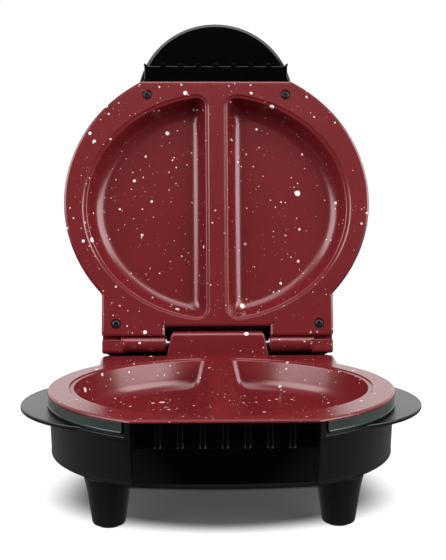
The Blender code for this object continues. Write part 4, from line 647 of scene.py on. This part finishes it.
def block(x, forward, depth, place):
    """A plain closed box from pairs of ends, of which only those across may be the wrong way round."""
    x = sorted(x)
    ring = [(x[0], forward[0]), (x[1], forward[0]), (x[1], forward[1]), (x[0], forward[1])]
    return capped([[(a, b, where) for a, b in ring] for where in depth], place)


def across(stations, ring_at, place, side=1):
    """A solid through rings of (forward, height above the hinge axis), one at each (x, shrink)."""
    rings = [(side * x, ring_at(shrink)) for x, shrink in stations]
    return capped([[(x, forward, height + lid_lift) for forward, height in ring] for x, ring in rings], place)


def quarter(radius, steps):
    """A quarter round: how far short of the end and of the full size it is, by the sine and the cosine."""
    turn = np.linspace(0, math.pi / 2, steps + 1)[:, None]
    return radius * (1 - np.hstack([np.sin(turn), np.cos(turn)]))


def circle(radius, steps):
    """A ring of points on a circle about nought."""
    return arc((0, 0), radius, 0, 2 * math.pi, steps)[:-1]


def barrel_ring(shrink):
    """Section of a lug's barrel: a circle round the pin."""
    return circle(barrel_radius - shrink, 48)


def block_ring(shrink):
    """Section of a lug's end block: a rectangle with its two rear corners well rounded."""
    low, high = -block_low + shrink, block_high - shrink
    back, front = -block_back + shrink, block_front - shrink
    corners = ((front, low, 0.4), (back, low, block_round), (back, high, block_round), (front, high, 0.4))
    return rounded(corners, 6, closed=True)


def bead_ring(shrink):
    """Section of the bead: an ellipse, at its full size where the shrink is nought and a point at one."""
    turn = np.linspace(0, 2 * math.pi, 49)[:-1]
    size = math.sqrt(max(1 - shrink**2, 1e-4))
    forward = bead_forward + size * bead_half_height * np.cos(turn)
    return np.stack([forward, size * bead_rise * np.sin(turn)], -1)


def knuckle():
    """The tapered block: a rounded rectangle that narrows with height, its top edge a quarter round."""
    levels = [(0, -deck_depth), (0, 0), (0, knuckle_height - knuckle_top_round - 0.05)]
    levels += [(shrink, knuckle_height - short) for short, shrink in quarter(knuckle_top_round, 6)]
    rows = []
    for inset, height in levels:
        share = max(height, 0) / knuckle_height
        half = knuckle_half_width - knuckle_taper * share - inset / 2
        front = knuckle_front - knuckle_slant * share - inset
        rear = -knuckle_rear + inset
        corners = ((-half, rear), (half, rear), (half, front), (-half, front))
        ring = rounded([(*corner, knuckle_corner) for corner in corners], closed=True)
        rows.append(level(ring, -height))
    return capped(rows, on_base)


def cast_on(name, grid, half):
    """A closed shape cast in one with the plate of a half, bored through for the pin."""
    place, body, _, _, lift = halves[half]
    made = skin(name, [grid])
    ring = circle(bore_radius, 32)
    carve(made, [capped([[(x, y, z + lift) for y, z in ring] for x in (-bore_reach, bore_reach)], place)])
    dress(made, nonstick, body, f"{half}_plate")


barrel = [(lug_inner, 0.3), (lug_inner + 0.3, 0.0), (block_inner + 1.0, 0.0)]
end_block = [(block_inner - 0.4, 0.6), (block_inner, 0), (block_inner + 0.1, 0)]
end_block += [(block_outer - short, shrink) for short, shrink in quarter(block_edge, 5)]
bead_shares = np.sin(np.linspace(-1.57, 1.57, 17))
bead = [(bead_middle + bead_half_width * share, abs(share)) for share in bead_shares]
kinds = {"barrel": (barrel, barrel_ring), "block": (end_block, block_ring), "bead": (bead, bead_ring)}
for side, name in sides:
    for kind, (stations_of, ring_at) in kinds.items():
        cast_on(f"hinge_{kind}_{name}", across(stations_of, ring_at, on_lid, side), "upper")
    reach = (side * (lug_inner + 0.6), side * web_outer)
    cast_on(f"hinge_web_{name}", block(reach, (0, web_front), (web_face, web_back), on_lid), "upper")
cast_on("hinge_knuckle", knuckle(), "lower")


# Hinge pin and spring washers
# A bright-drawn steel pin, its ends chamfered, and the two zinc-plated washers that keep it from sliding.


def finish(name, patch, sockets, tones=None, dull=None, relief=None, stretch=(1, 1, 1)):
    """A finish that wanders with a noise, patch, of (size in millimetres, detail): its colour between two
    tones and its roughness between two ends. A relief of (size, detail, strength, height) adds a finer bump,
    and sockets holds what is the same all over."""
    look, tree, shader, in_mm = start_look(name, stretch)
    plug(shader, sockets)
    noise = add_node(tree, "TexNoise", {"Vector": in_mm, "Scale": 1 / patch[0], "Detail": patch[1]})
    if tones:
        ends = {"Factor": noise, "A": linear(tones[0]), "B": linear(tones[1])}
        plug(shader, {"Base Color": add_node(tree, "Mix", ends, data_type="RGBA")})
    if dull:
        plug(shader, {"Roughness": add_node(tree, "MapRange", (noise, 0, 1, *dull))})
    if relief:
        size, detail, strength, height = relief
        grain = add_node(tree, "TexNoise", {"Vector": in_mm, "Scale": 1 / size, "Detail": detail})
        bump = {"Height": grain, "Strength": strength, "Distance": height}
        plug(shader, {"Normal": add_node(tree, "Bump", bump)})
    return look


# Zinc-plated mild steel: a bluish grey metal with a faint grain, drawn out along the pin
metal = {"Metallic": 1.0}
zinc_tones = ("#9ea2a8", "#c6c9cc")
zinc = finish("zinc_plated_steel", (1.0, 3.0), metal, zinc_tones, (0.26, 0.42), stretch=(0.3, 2.5, 2.5))
zinc = (zinc, "steel")
pin_half = neck_half_width - 2.5
pin_chamfer = 0.5
washer_outer = 4.2
washer_top = 0.7
washer_edge = 0.15


def pin_ring(shrink):
    """Section of the pin: a circle."""
    return circle(pin_radius - shrink, 32)


def spun(corners, steps, count):
    """A closed section of (radius, along, rounding) turned about its axis: places across and along it."""
    section = rounded(corners, steps, closed=True)
    radius, along = np.concatenate([section, section[:1]]).T[:, :, None]
    turn = np.linspace(0, 2 * math.pi, count + 1)
    return radius * np.cos(turn), radius * np.sin(turn), along


pin_flat = pin_half - pin_chamfer
pin_stations = ((-pin_half, pin_chamfer), (-pin_flat, 0), (pin_flat, 0), (pin_half, pin_chamfer))
dress(skin("hinge_rod", [across(pin_stations, pin_ring, on_lid)]), zinc, "base", "hinge_pin")

washer = ((bore_radius, 0), (washer_outer, 0), (washer_outer, washer_top), (bore_radius, washer_top))
forward, height, along = spun([(*corner, washer_edge) for corner in washer], 3, 48)
for side, name in sides:
    grid = on_lid(side * (lug_inner - 0.3 - along), forward, height + lid_lift)
    dress(skin(f"spring_washer_{name}", [grid]), zinc, "base", f"hinge_clip_{name}")


# Machine screws
# Blackened pan-head screws hold the upper plate, and zinc-plated ones the rest. Each head has a cross recess.

shank_radius = 1.7
head_radius = 3.1
head_flat = 2.2
head_height = 1.4
tip_length = 0.6
recess_reach = 1.75
recess_half = 0.42
recess_depth = 0.95
recess_taper = 0.55
upper_screw_seat = 1.4
upper_screw_length = 26.0

# Blackened steel: near black, with a dull oily shine
black_tones = ("#1b1a1c", "#343236")
black_steel = finish("black_oxide_steel", (1.11, 2.0), {"Metallic": 0.6, "Roughness": 0.38}, black_tones)
black_steel = (black_steel, "black_screw")


def screw(node, centre, seat, length, towards, place, coat, body):
    """A pan-head screw turned about its axis: the head bears at the seat and the shank runs on towards."""
    top = seat - towards * head_height
    head = ((0, top, 0), (head_flat, top, 1.6), (head_radius, seat, 0.12), (shank_radius, seat, 0.1))
    tip = ((shank_radius, seat + towards * length, 0.4), (0, seat + towards * (length + tip_length), 0))
    made = skin("screw_" + node, [turned(rounded((*head, *tip), 4, guard=0.02), centre, place, 32)])
    a, b = recess_half, recess_reach
    star = [(a, a), (a, b), (-a, b), (-a, a), (-b, a), (-b, -a)]
    star += [(-x, -along) for x, along in star]
    rows = []
    levels = ((1.0, top - towards * 0.5), (1.0, top), (recess_taper, top + towards * recess_depth))
    for share, depth in levels:
        rows.append([(centre[0] + share * x, centre[1] + share * along, depth) for x, along in star])
    carve(made, [capped(rows, place)])
    dress(made, coat, body, node, crease=25.0)


for corner, place in screw_places.items():
    name = f"upper_plate_screw_{corner}"
    screw(name, place, upper_screw_seat, upper_screw_length, 1, on_lid, black_steel, "lid")


# Lid dome
# A glossy black phenolic moulding with upright sides and a low crown. The upper plate closes its mouth, and
# its rear edge is cut away round the hinge.

# Polished black phenolic: deep black with a hard mirror-like shine and the slight waviness of a moulding
gloss_sockets = {"Base Color": linear("#020202"), "IOR": 1.5}
gloss_relief = (20.0, 1.0, 0.25, 0.0004)
gloss = finish("polished_black_phenolic", (2.5, 3.0), gloss_sockets, dull=(0.07, 0.12), relief=gloss_relief)
gloss = (gloss, "gloss_black")

seam_depth = 2.1
lid_rear = -7.3
lid_corner = 5.0
lid_wall_top = 24.0
lid_lean = 0.5
lid_crown = 11.0
crown_inset = 47.2
crown_roundness = 2.7
lid_wall = 2.5
lid_rim = 4.6
lid_rear_half_width = 73.8
lid_neck_wall = 2.4
inner_neck = lid_rear_half_width - lid_neck_wall + lid_rim
cut_front = 8.2
cut_depth = 12.25
cut_reach = 80.0
knuckle_room = 34.6
knuckle_depth = 16.0


def lid_ring(inset, depth, neck=neck_half_width):
    """The lid's plan at an inset and a depth."""
    return level(whole_outline(inset=inset, rear=lid_rear, neck=neck, corner=lid_corner), depth)


def crown(start_inset, start_depth, height, steps=16):
    """(inset, depth) up the crown: a superellipse, one less the cosine across and a power of the sine up."""
    turn = np.linspace(0, math.pi / 2, steps + 1)[1:]
    inset = start_inset + crown_inset * (1 - np.cos(turn))
    return np.column_stack([inset, start_depth + height * np.sin(turn) ** (2 / crown_roundness)])


inside = [(lid_rim, seam_depth), (lid_rim + lid_lean, lid_wall_top)]
inside = np.concatenate([inside, crown(lid_rim + lid_lean, lid_wall_top, lid_crown - lid_wall, 8)])
outside = rounded(((lid_rim, seam_depth, 0), (0, seam_depth, 0.35), (lid_lean, lid_wall_top, 0)), 3)
outside = np.concatenate([outside[1:], crown(lid_lean, lid_wall_top, lid_crown)])
rows = [lid_ring(inset, depth, inner_neck) for inset, depth in inside[::-1]]
rows += [lid_ring(inset, depth) for inset, depth in outside]
dome = skin("lid_dome", [capped(rows, on_lid)])
# Room for the hinge, for the knuckle between its lugs, and beside the neck at the rear
carve(dome, [block((-cut_reach, cut_reach), (lid_rear - 4, cut_front), (-2, cut_depth), on_lid)])
carve(dome, [block((-knuckle_room, knuckle_room), (lid_rear - 5, notch_front), (-3, knuckle_depth), on_lid)])
reliefs = [(side * lid_rear_half_width, side * cut_reach) for side, name in sides]
relief_depth = (-4, lid_wall_top + lid_crown + 4)
carve(dome, [block(reach, (lid_rear - 4, plate_rear), relief_depth, on_lid) for reach in reliefs])
dress(dome, gloss, "lid", "lid_shell")


# Handle
# The front of the lid runs out into a box with a row of grip ribs, and a flat crescent above it takes the
# fingertips. Both are moulded in one with the dome.

box_half_width = 48.6
box_tip = 47.4
box_flare = 3.0
box_reach = plate_front + 10.6
box_back = plate_front - 10.0
handle_radius = 53.0
handle_forward = plate_front - 6.1
handle_low = 24.2
handle_high = 31.2
rib_count = 7
rib_pitch = 11.67
rib_radius = 2.1
horn_width = 2.2
horn_reach = 2.4
horn_flare = 0.6


def upright(corners, levels, place, steps=4):
    """A solid whose plan is a rounded outline, with its upper and lower edges eased: (shrink, depth) levels
    draw the outline in towards its middle."""
    ring = rounded(corners, steps, closed=True)
    middle = (ring.max(axis=0) + ring.min(axis=0)) / 2
    half = (ring.max(axis=0) - ring.min(axis=0)) / 2
    rows = [level(middle + (ring - middle) * (1 - shrink / half), depth) for shrink, depth in levels]
    return capped(rows, place)


def eased(low, high, edge):
    """(shrink, depth) levels from low to high with both edges a quarter round."""
    first = [(short, low + shrink) for short, shrink in quarter(edge, 3)]
    last = [(shrink, high - short) for short, shrink in quarter(edge, 3)]
    reach = edge + 0.05
    return [(reach, low), *first, (0, low + reach), (0, high - reach), *last, (reach, high)]


def rib_plan(k, wall):
    """Plan of grip rib number k, a half round that stands on a wall, and its x."""
    x = rib_pitch * (k - (rib_count - 1) / 2)
    root = [(x - rib_radius, wall - 1), (x + rib_radius, wall - 1)]
    return np.concatenate([arc((x, wall), rib_radius, 0, math.pi, 12), root]), x


box_corners = [
    (box_half_width, box_back, 0),
    (box_half_width, plate_front, 0.6),
    (box_tip, plate_front + box_flare, 1.2),
    (box_tip, box_reach, 0.5),
]
box_corners += [(-x, forward, radius) for x, forward, radius in reversed(box_corners)]
grip = [upright(box_corners, eased(seam_depth, handle_low + 3, 0.3), on_lid)]
for k in range(rib_count):
    ring, x = rib_plan(k, box_reach)
    ends = ((seam_depth, 0.94), (seam_depth + 0.15, 1.0), (handle_low + 1, 1.0))
    middle = (x, box_reach)
    grip.append(capped([level(middle + (ring - middle) * size, depth) for depth, size in ends], on_lid))
horn = [
    (box_tip - horn_width, box_reach - horn_width, 0),
    (box_tip, box_reach - horn_width, 0),
    (box_tip, box_reach, 0.5),
    (box_tip + horn_flare, box_reach + horn_reach / 2, 0.5),
    (box_tip + horn_flare / 2, box_reach + horn_reach, 0.35),
    (box_tip - horn_width / 2, box_reach + horn_reach / 2, 0.5),
    (box_tip - horn_width, box_reach, 0.4),
]
for side, name in sides:
    grip.append(upright(np.array(horn) * (side, 1, 1), eased(seam_depth, handle_low + 1.5, 0.25), on_lid))
dress(skin("lid_grip_box", grip), gloss, "lid", "lid_shell")

handle_profile = (
    (0, handle_low, 0),
    (handle_radius - 2.6, handle_low, 0.3),
    (handle_radius - 2.1, handle_low - 0.35, 0.3),
    (handle_radius - 0.1, handle_low - 0.1, 0.7),
    (handle_radius, handle_low + 2.0, 1.2),
    (handle_radius - 0.6, handle_high - 0.8, 1.2),
    (handle_radius - 3.4, handle_high, 2.0),
    (0, handle_high, 0),
)
crescent = skin("lid_crescent_handle", [turned(rounded(handle_profile), (0, handle_forward), on_lid, 160)])
dress(crescent, gloss, "lid", "lid_shell")


# Indicator lights
# Two domed acrylic lenses, red for power and green for ready, pushed up through the root of the handle.
# A small neon lamp sits in the tube below each.

light_x = 11.5
lens_radius = 4.0
lens_top = handle_high + 0.9
lens_flange = 5.0
lens_forward = box_reach - 3.0 - lens_flange
lens_foot = handle_high - 2.9
tube_outer = 3.5
tube_inner = 2.6
tube_end = lens_foot - 8.5
lamp_radius = 2.3
lamp_top = lens_foot - 0.6
lamp_end = lens_foot - 11.6


def clear_acrylic(name, slot, tint):
    """Tinted acrylic, or the glass of a lamp: clear and saturated, with a smooth bright skin."""
    sockets = {"Base Color": linear(tint), "Transmission Weight": 0.6, "IOR": 1.49}
    return finish(name, (3.33, 2.0), sockets, dull=(0.04, 0.12)), slot


lens_profile = (
    (0, lens_top, 0),
    (lens_radius * 0.62, lens_top, 2.0),
    (lens_radius, handle_high + 0.2, 0.5),
    (lens_radius, lens_foot, 0),
    (lens_flange, lens_foot, 0.2),
    (lens_flange, lens_foot - 1.2, 0.2),
    (tube_outer, lens_foot - 1.2, 0.2),
    (tube_outer, tube_end, 0.2),
    (tube_inner, tube_end, 0.2),
    (tube_inner, lens_foot - 0.3, 0.2),
    (0, lens_foot - 0.3, 0),
)
lamp_profile = ((0, lamp_top, 0), (1.2, lamp_top, 0.8), (lamp_radius, lamp_top - 1.3, 0.8))
lamp_profile += ((lamp_radius, lamp_end, 0.3), (0, lamp_end, 0))
neon_glass = clear_acrylic("neon_lamp_glass", "lamp_glass", "#e8c4b0")
for side, name, colour, tint in ((-1, "power", "red", "#c01414"), (1, "ready", "green", "#1d8f36")):
    centre = (side * light_x, lens_forward)
    lens = skin(f"{name}_light_lens", [turned(rounded(lens_profile), centre, on_lid, 40)])
    dress(lens, clear_acrylic(f"{colour}_acrylic", f"{colour}_lens", tint), "lid", f"{name}_lens")
    lamp = skin(f"{name}_neon_lamp", [turned(rounded(lamp_profile, 4), centre, on_lid, 24)])
    dress(lamp, neon_glass, "lid", f"{name}_lamp")


# Base tub
# A satin black phenolic moulding: a glossy band under the plate, a groove and a shelf, a tapered wall that
# bows out at the front, and a rolled lip over a flat floor. Two thin crescent wings serve as side grips.

# Satin black phenolic: a fine even moulded grain that spreads highlights into a soft grey sheen
satin_sockets = {"Base Color": linear("#0b0b0c"), "IOR": 1.45}
satin_relief = (0.3125, 3.0, 0.15, 0.0001)
satin = finish("satin_black_phenolic", (33.3, 2.0), satin_sockets, dull=(0.27, 0.36), relief=satin_relief)
satin = (satin, "satin_black")
# The same phenolic with a painted sheen: a greenish grey colour stands in for a sheen over black, smooth and
# a little cloudy
painted_sheen_phenolic = finish("phenolic_with_painted_sheen", (12.5, 3.0), {"IOR": 1.55}, ("#2c3331", "#38403d"), (0.12, 0.2))
painted_sheen_phenolic = (painted_sheen_phenolic, "satin_black")

base_rear = -9.0
base_corner = 7.0
base_rim = 4.6
base_depth = 38.5
floor_thickness = 2.5
inner_floor = base_depth - floor_thickness
band_bottom = 8.0
groove_inset = 2.0
groove_height = 1.3
shelf_top = band_bottom + groove_height
shelf_bottom = shelf_top + 2.1
lip_top = base_depth - 4.8
wall_bow = 4.0
lip_bow = 4.2
hollow_front = plate_front - 6.9
deck_front = 7.8
panel_half_width = 48.9
panel_lean = 1.1
panel_thickness = 3.9
grille_bottom = 15.1
fit = 0.3
window_half = panel_half_width + fit
window_back = plate_front - panel_thickness - fit
vent_count = 5
vent_pitch = 9.0
vent_half = 1.5
vent_start = 17.0
vent_end = 51.0
tower_radius = 5.0
tower_bore = 3.7
tower_neck = 2.3
tower_top = 14.4
screw_seat = 17.0
lower_screw_places = four_corners(lower_front_screw, rear_screw)

# (inset, depth, bow, rounding) down the outside, from the inner edge of the rim to the floor
outside = (
    (base_rim, seam_depth, 0, 0),
    (groove_inset, seam_depth, 0, 0.2),
    (groove_inset, shelf_top, 0, 0.15),
    (0, shelf_top, 0, 0.3),
    (0, shelf_bottom, 0, 0.3),
    (1.2, shelf_bottom, wall_bow, 0.5),
    (2.1, lip_top, wall_bow, 0.6),
    (1.95, lip_top + 1.2, lip_bow, 0.6),
    (1.95, lip_top + 2.6, lip_bow, 1.0),
    (6.2, base_depth, lip_bow, 2.6),
    (12.0, base_depth, lip_bow, 0),
)


def base_ring(inset, depth, bow):
    """The tub's outer plan at an inset, a depth and a bow of its front."""
    return level(whole_outline(inset=inset, rear=base_rear, corner=base_corner, bow=bow), depth)


def hollow_ring(inset, depth):
    """The plan of the tub's inside, cut straight behind the front panel."""
    line = whole_outline(inset=inset, rear=deck_front - inset, corner=base_corner / 2)
    line[:, 1] = np.minimum(line[:, 1], hollow_front)
    return level(line, depth)


hollow = ((base_rim + 2.6, inner_floor), (base_rim, lip_top), (base_rim, seam_depth))
rows = [hollow_ring(*row) for row in hollow]
rows += [base_ring(*row) for row in rounded(outside, 4)]
tub = skin("base_tub", [capped(rows, on_base)])
carve(tub, [block((-cut_reach, cut_reach), (base_rear - 4, deck_front - 1), (-4, deck_depth + fit), on_base)])
window = []
for depth, lean in ((-4, 0), (grille_bottom, 0), (lip_top, panel_lean)):
    half, reach = window_half - lean, plate_front + 9
    window.append(level([(-half, window_back), (half, window_back), (half, reach), (-half, reach)], depth))
carve(tub, [capped(window, on_base)])
vents = []
for k in range(vent_count):
    middle = plate_centre + (k - (vent_count - 1) / 2) * vent_pitch
    for side, name in sides:
        reach, span = (side * vent_start, side * vent_end), (middle - vent_half, middle + vent_half)
        vents.append(block(reach, span, (inner_floor - 2, base_depth + 2), on_base))
carve(tub, vents)
hole_top, hole_end = inner_floor - 1, base_depth + 2
hole = ((0, hole_top), (tower_bore, hole_top), (tower_bore, hole_end), (0, hole_end))
carve(tub, [turned(hole, place, on_base, 40) for place in lower_screw_places.values()])
dress(tub, satin, "base", "base_shell")


def oval_front(x, inset=0.0):
    """How far forward the plate's oval, and its straight front, lie at a distance from the middle."""
    share = np.asarray(x) / (plate_half_width - inset)
    return np.minimum(plate_centre + (plate_half_depth - inset) * np.sqrt(1 - share**2), plate_front - inset)


# The band runs round the tub and stops short of the panel, where its lower edge turns up in a quarter round
band_end_x = panel_half_width + 3.5
band_start = band_end_x + groove_height
band_turn = 1.5
path = half_outline(rear=base_rear, corner=base_corner)
count = int(np.argmax((path[:, 1] > plate_centre) & (path[:, 0] < band_start + 2.5)))
section = (
    (groove_inset + 0.5, seam_depth, 0),
    (0.8, seam_depth, 0.3),
    (0.25, band_bottom - 1.1, 0.3),
    (0.0, band_bottom - 0.9, 0.25),
    (0.0, band_bottom - 0.2, 0.25),
    (groove_inset + 0.5, band_bottom, 0),
)
run = band_start + band_turn - band_turn * np.sin(np.linspace(0, math.pi / 2, 9))
drop = np.maximum(band_turn**2 - np.maximum(band_start + band_turn - run, 0) ** 2, 0)
rise = (band_turn - np.sqrt(drop)) / (band_bottom - seam_depth)
rows = []
for inset, depth in rounded(section):
    line = half_outline(inset=inset, rear=base_rear, corner=base_corner)[:count]
    tail = np.column_stack([run, oval_front(run, inset)])
    depths = np.concatenate([np.full(count, depth), depth - rise * (depth - seam_depth)])
    rows.append(np.column_stack([np.concatenate([line, tail]), depths]))
rows = np.array(rows)
middles = np.repeat(rows[:, [0, -1]].mean(axis=0, keepdims=True), len(rows), axis=0)
rows = np.concatenate([middles[:, :1], rows, middles[:, 1:]], axis=1)
rows = np.concatenate([rows, rows[:1]])
bands = [on_base(side * rows[..., 0], rows[..., 1], rows[..., 2]) for side, name in sides]
# The band's greenish grey colour is a painted sheen
dress(skin("polished_band", bands), painted_sheen_phenolic, "base", "base_shell")

post_x = np.linspace(window_half, band_end_x, 5)
post = np.column_stack([post_x, oval_front(post_x)])
post = np.concatenate([[(window_half, plate_front - 7)], post, [(band_end_x, plate_front - 7)]])
posts = []
for side, name in sides:
    posts.append(capped([level(post * (side, 1), depth) for depth in (seam_depth, shelf_top + 1)], on_base))
dress(skin("panel_posts", posts), satin, "base", "base_shell")

wing_reach = 15.4
wing_radius = 63.4
wing_root = plate_half_width - 1.2
wing_top = shelf_top - 0.3
wing_thickness = 2.2
wing_edge = 0.75
wing_x = plate_half_width + wing_reach - wing_radius
# Far enough in from the wing's free edge to lie behind the tub's wall everywhere
behind_wall = -99


def wing_start(along):
    """How far out the oval that the wings start from lies, at a distance along from its middle."""
    return wing_root * np.sqrt(1 - (along / plate_half_depth) ** 2)


def wing(side):
    """A flat crescent: from inside the tub's oval wall out to a circle, its free edge rounded."""
    turn = np.linspace(0, math.pi / 2, table_points)
    tip = turn[np.argmax(wing_x + wing_radius * np.cos(turn) < wing_start(wing_radius * np.sin(turn)))]
    turn = np.linspace(-tip, tip, 121)[:, None]
    along = wing_radius * np.sin(turn)
    outer = wing_x + wing_radius * np.cos(turn)
    edge = ((-9, 0, 0), (0, 0, wing_edge), (0, wing_thickness, wing_edge), (-9, wing_thickness, 0))
    start, end = (behind_wall, 0), (behind_wall, wing_thickness)
    line = np.concatenate([[start], rounded(edge)[1:-1], [end, start]])
    x = np.maximum(outer + line[:, 0], np.minimum(wing_start(along), outer))
    points = on_base(side * x, plate_centre + along, wing_top + line[:, 1])
    tips = np.repeat(points[[0, -1]].mean(axis=1, keepdims=True), len(line), axis=1)
    return np.concatenate([tips[:1], points, tips[1:]])


dress(skin("side_grip_wings", [wing(1), wing(-1)]), satin, "base", "base_shell")

tower_end = base_depth - 0.2
tower_outside = ((tower_bore, tower_end), (tower_radius, tower_end), (tower_radius, tower_top))
tower_hole = ((tower_neck, tower_top), (tower_neck, screw_seat), (tower_bore, screw_seat))
tower = ((tower_bore, screw_seat), *tower_outside, *tower_hole)
towers = [turned(tower, place, on_base, 40) for place in lower_screw_places.values()]
dress(skin("screw_towers", towers), satin, "base", "base_shell")


# Front panel
# A separate polished black moulding let into the front of the tub: a row of upright ribs in a recess, over a
# sill, and below it a plain face that bows out and leans back.

recess_back = plate_front - 2.3
recess_side = 1.4
panel_bottom = lip_top - fit
foot_lean = 2.1
panel_bevel = 0.4


def panel_ring(half_width, face, bow, depth):
    """The panel's plan: a straight back and a face that bows out as one less its share squared."""
    share = np.linspace(1, -1, 41)
    front = np.column_stack([half_width * share, face + bow * (1 - share**2)])
    back = plate_front - panel_thickness
    return level(np.concatenate([front, [(-half_width, back), (half_width, back)]]), depth)


rows = [panel_ring(panel_half_width, plate_front, 0, depth) for depth in (seam_depth, grille_bottom)]
for share in np.linspace(0, 1, 9)[1:]:
    face, bow = plate_front - foot_lean * share, wall_bow * share
    depth = grille_bottom + (panel_bottom - grille_bottom) * share
    rows.append(panel_ring(panel_half_width - panel_lean * share, face, bow, depth))
panel = skin("front_panel_moulding", [capped(rows, on_base)])
half = panel_half_width - recess_side
carve(panel, [block((-half, half), (recess_back, plate_front + 4), (-2, grille_bottom), on_base)])
ribs = []
for k in range(rib_count):
    ring, x = rib_plan(k, recess_back)
    ribs.append(capped([level(ring, depth) for depth in (seam_depth - 0.2, grille_bottom + 1)], on_base))
carve(panel, ribs, "UNION")
bevel = panel.modifiers.new("eased_edges", "BEVEL")
bevel.width = panel_bevel * MM
bevel.segments = 2
bevel.angle_limit = math.radians(40)
dress(panel, gloss, "base", "front_panel")


# Feet
# Four tapered satin black feet under the tub's floor, each hollow for its screw and closed by a rubber pad.

foot_places = four_corners((62.0, plate_front - 24.4), (neck_half_width - 25.0, plate_rear + 10.2))
foot_lift = base_depth + 24.4
foot_root = lip_top + 2.4
foot_root_radius = 13.3
foot_top_radius = 11.7
foot_end_radius = 8.8
foot_seat = base_depth + 7.0
foot_bore = 1.9
foot_hollow = 4.2
pad_radius = 6.2
pad_recess = 1.5

# Nitrile rubber: matt charcoal black, slightly dusty, with a fine pebbled skin
rubber_tones = ("#151515", "#222222")
pebble = (0.667, 2.0)
rubber = finish("nitrile_rubber", pebble, {"Roughness": 0.85}, rubber_tones, relief=(*pebble, 0.3, 0.0002))
rubber = (rubber, "rubber")

foot_profile = (
    (foot_bore, foot_root, 0),
    (foot_root_radius, foot_root, 0),
    (foot_top_radius, base_depth + 5.0, 25.0),
    (foot_end_radius, foot_lift, 2.2),
    (pad_radius + fit, foot_lift, 0.2),
    (pad_radius + fit, foot_lift - pad_recess, 0.1),
    (foot_hollow, foot_lift - pad_recess, 0.2),
    (foot_hollow, foot_seat, 0.2),
    (foot_bore, foot_seat, 0.2),
    (foot_bore, foot_root, 0),
)
pad_top, pad_bottom = foot_lift - 1.2, foot_lift + 0.8
pad_profile = ((0, pad_top, 0), (pad_radius, pad_top, 0.2), (pad_radius, pad_bottom, 0.4), (0, pad_bottom, 0))
for corner, place in foot_places.items():
    foot = skin(f"tapered_foot_{corner}", [turned(rounded(foot_profile), place, on_base, 72)])
    dress(foot, satin, "base", f"foot_{corner}")
    pad = skin(f"rubber_pad_{corner}", [turned(rounded(pad_profile, 4), place, on_base, 48)])
    dress(pad, rubber, "base", f"foot_pad_{corner}")


# Zinc-plated screws
# Plain zinc-plated machine screws: four up through the towers into the lower plate, one up through each foot,
# and two for the strap of each heating element.

lower_screw_length = 12.7
foot_screw_length = 11.0
clamp_screw_length = 8.0
# The strap of an element and its play
strap_rise = 1.6

for corner, place in lower_screw_places.items():
    screw(f"lower_plate_screw_{corner}", place, screw_seat, lower_screw_length, -1, on_base, zinc, "base")
for corner, place in foot_places.items():
    screw(f"foot_screw_{corner}", place, foot_seat + fit, foot_screw_length, -1, on_base, zinc, "base")
for half, (place, body, pocket_depth, _, _) in halves.items():
    seat = pocket_depth + element_over_floor + strap_rise
    for side, name in sides:
        where = (side * clamp_boss_x, pocket_centre)
        screw(f"{half}_clamp_screw_{name}", where, seat, clamp_screw_length, -1, place, zinc, body)


# Cord bush
# A moulded black bush with three rings, snapped into the rear wall of the tub, where the mains lead goes in.

bush_depth = 22.5
# (radius, distance behind the hinge axis, rounding)
bush = (
    (3.6, 4.3, 0.3),
    (5.2, 4.3, 0.3),
    (5.6, 5.2, 0.3),
    (5.6, 9.3, 0.1),
    (8.0, 9.3, 0.4),
    (8.0, 10.0, 0.2),
    (7.3, 10.2, 0.1),
    (7.3, 10.5, 0.1),
    (6.4, 10.6, 0.1),
    (6.4, 11.1, 0.3),
    (3.6, 11.1, 0.4),
)
x, height, along = spun(bush, 4, 64)
dress(skin("cord_bush", [on_base(x, -along, bush_depth + height)]), satin, "base", "cord_gland")


# Heating elements and their fittings
# Each plate's element is a bent steel-sheathed rod under a strap, over a pressed shield of aluminised sheet.
# A ceramic thermostat, a thermal fuse under a clip, and a ceramic terminal block lie in the tub.

# A drawn steel sheath that heat has tinted brown and blue
sheath = finish("heat_tinted_steel_sheath", (6.0, 4.0), metal, ("#5d5048", "#8b857d"), (0.32, 0.55))
# Aluminised sheet steel: pale, matt and finely mottled
shield = finish("aluminised_sheet_steel", (2.5, 4.0), metal, ("#9fa3a5", "#c3c6c7"), (0.34, 0.5))
# Pressed steatite: an off-white ceramic with a dry, fine grain
steatite = finish("pressed_steatite", (0.8, 4.0), {}, ("#d9d2c2", "#ece7da"), (0.5, 0.7))
straps = ("upper_element_clamp", "lower_element_clamp", "thermal_fuse", "fuse_clip")
finishes = {
    sheath: ("upper_element", "lower_element"),
    shield: ("upper_heat_shield", "lower_heat_shield"),
    steatite: ("thermostat", "terminal_block"),
    zinc[0]: (*straps, "terminal_screw_left", "terminal_screw_middle", "terminal_screw_right"),
}
for look, names in finishes.items():
    for name in names:
        for place in frame["nodes"][name].material_slots:
            place.material = look
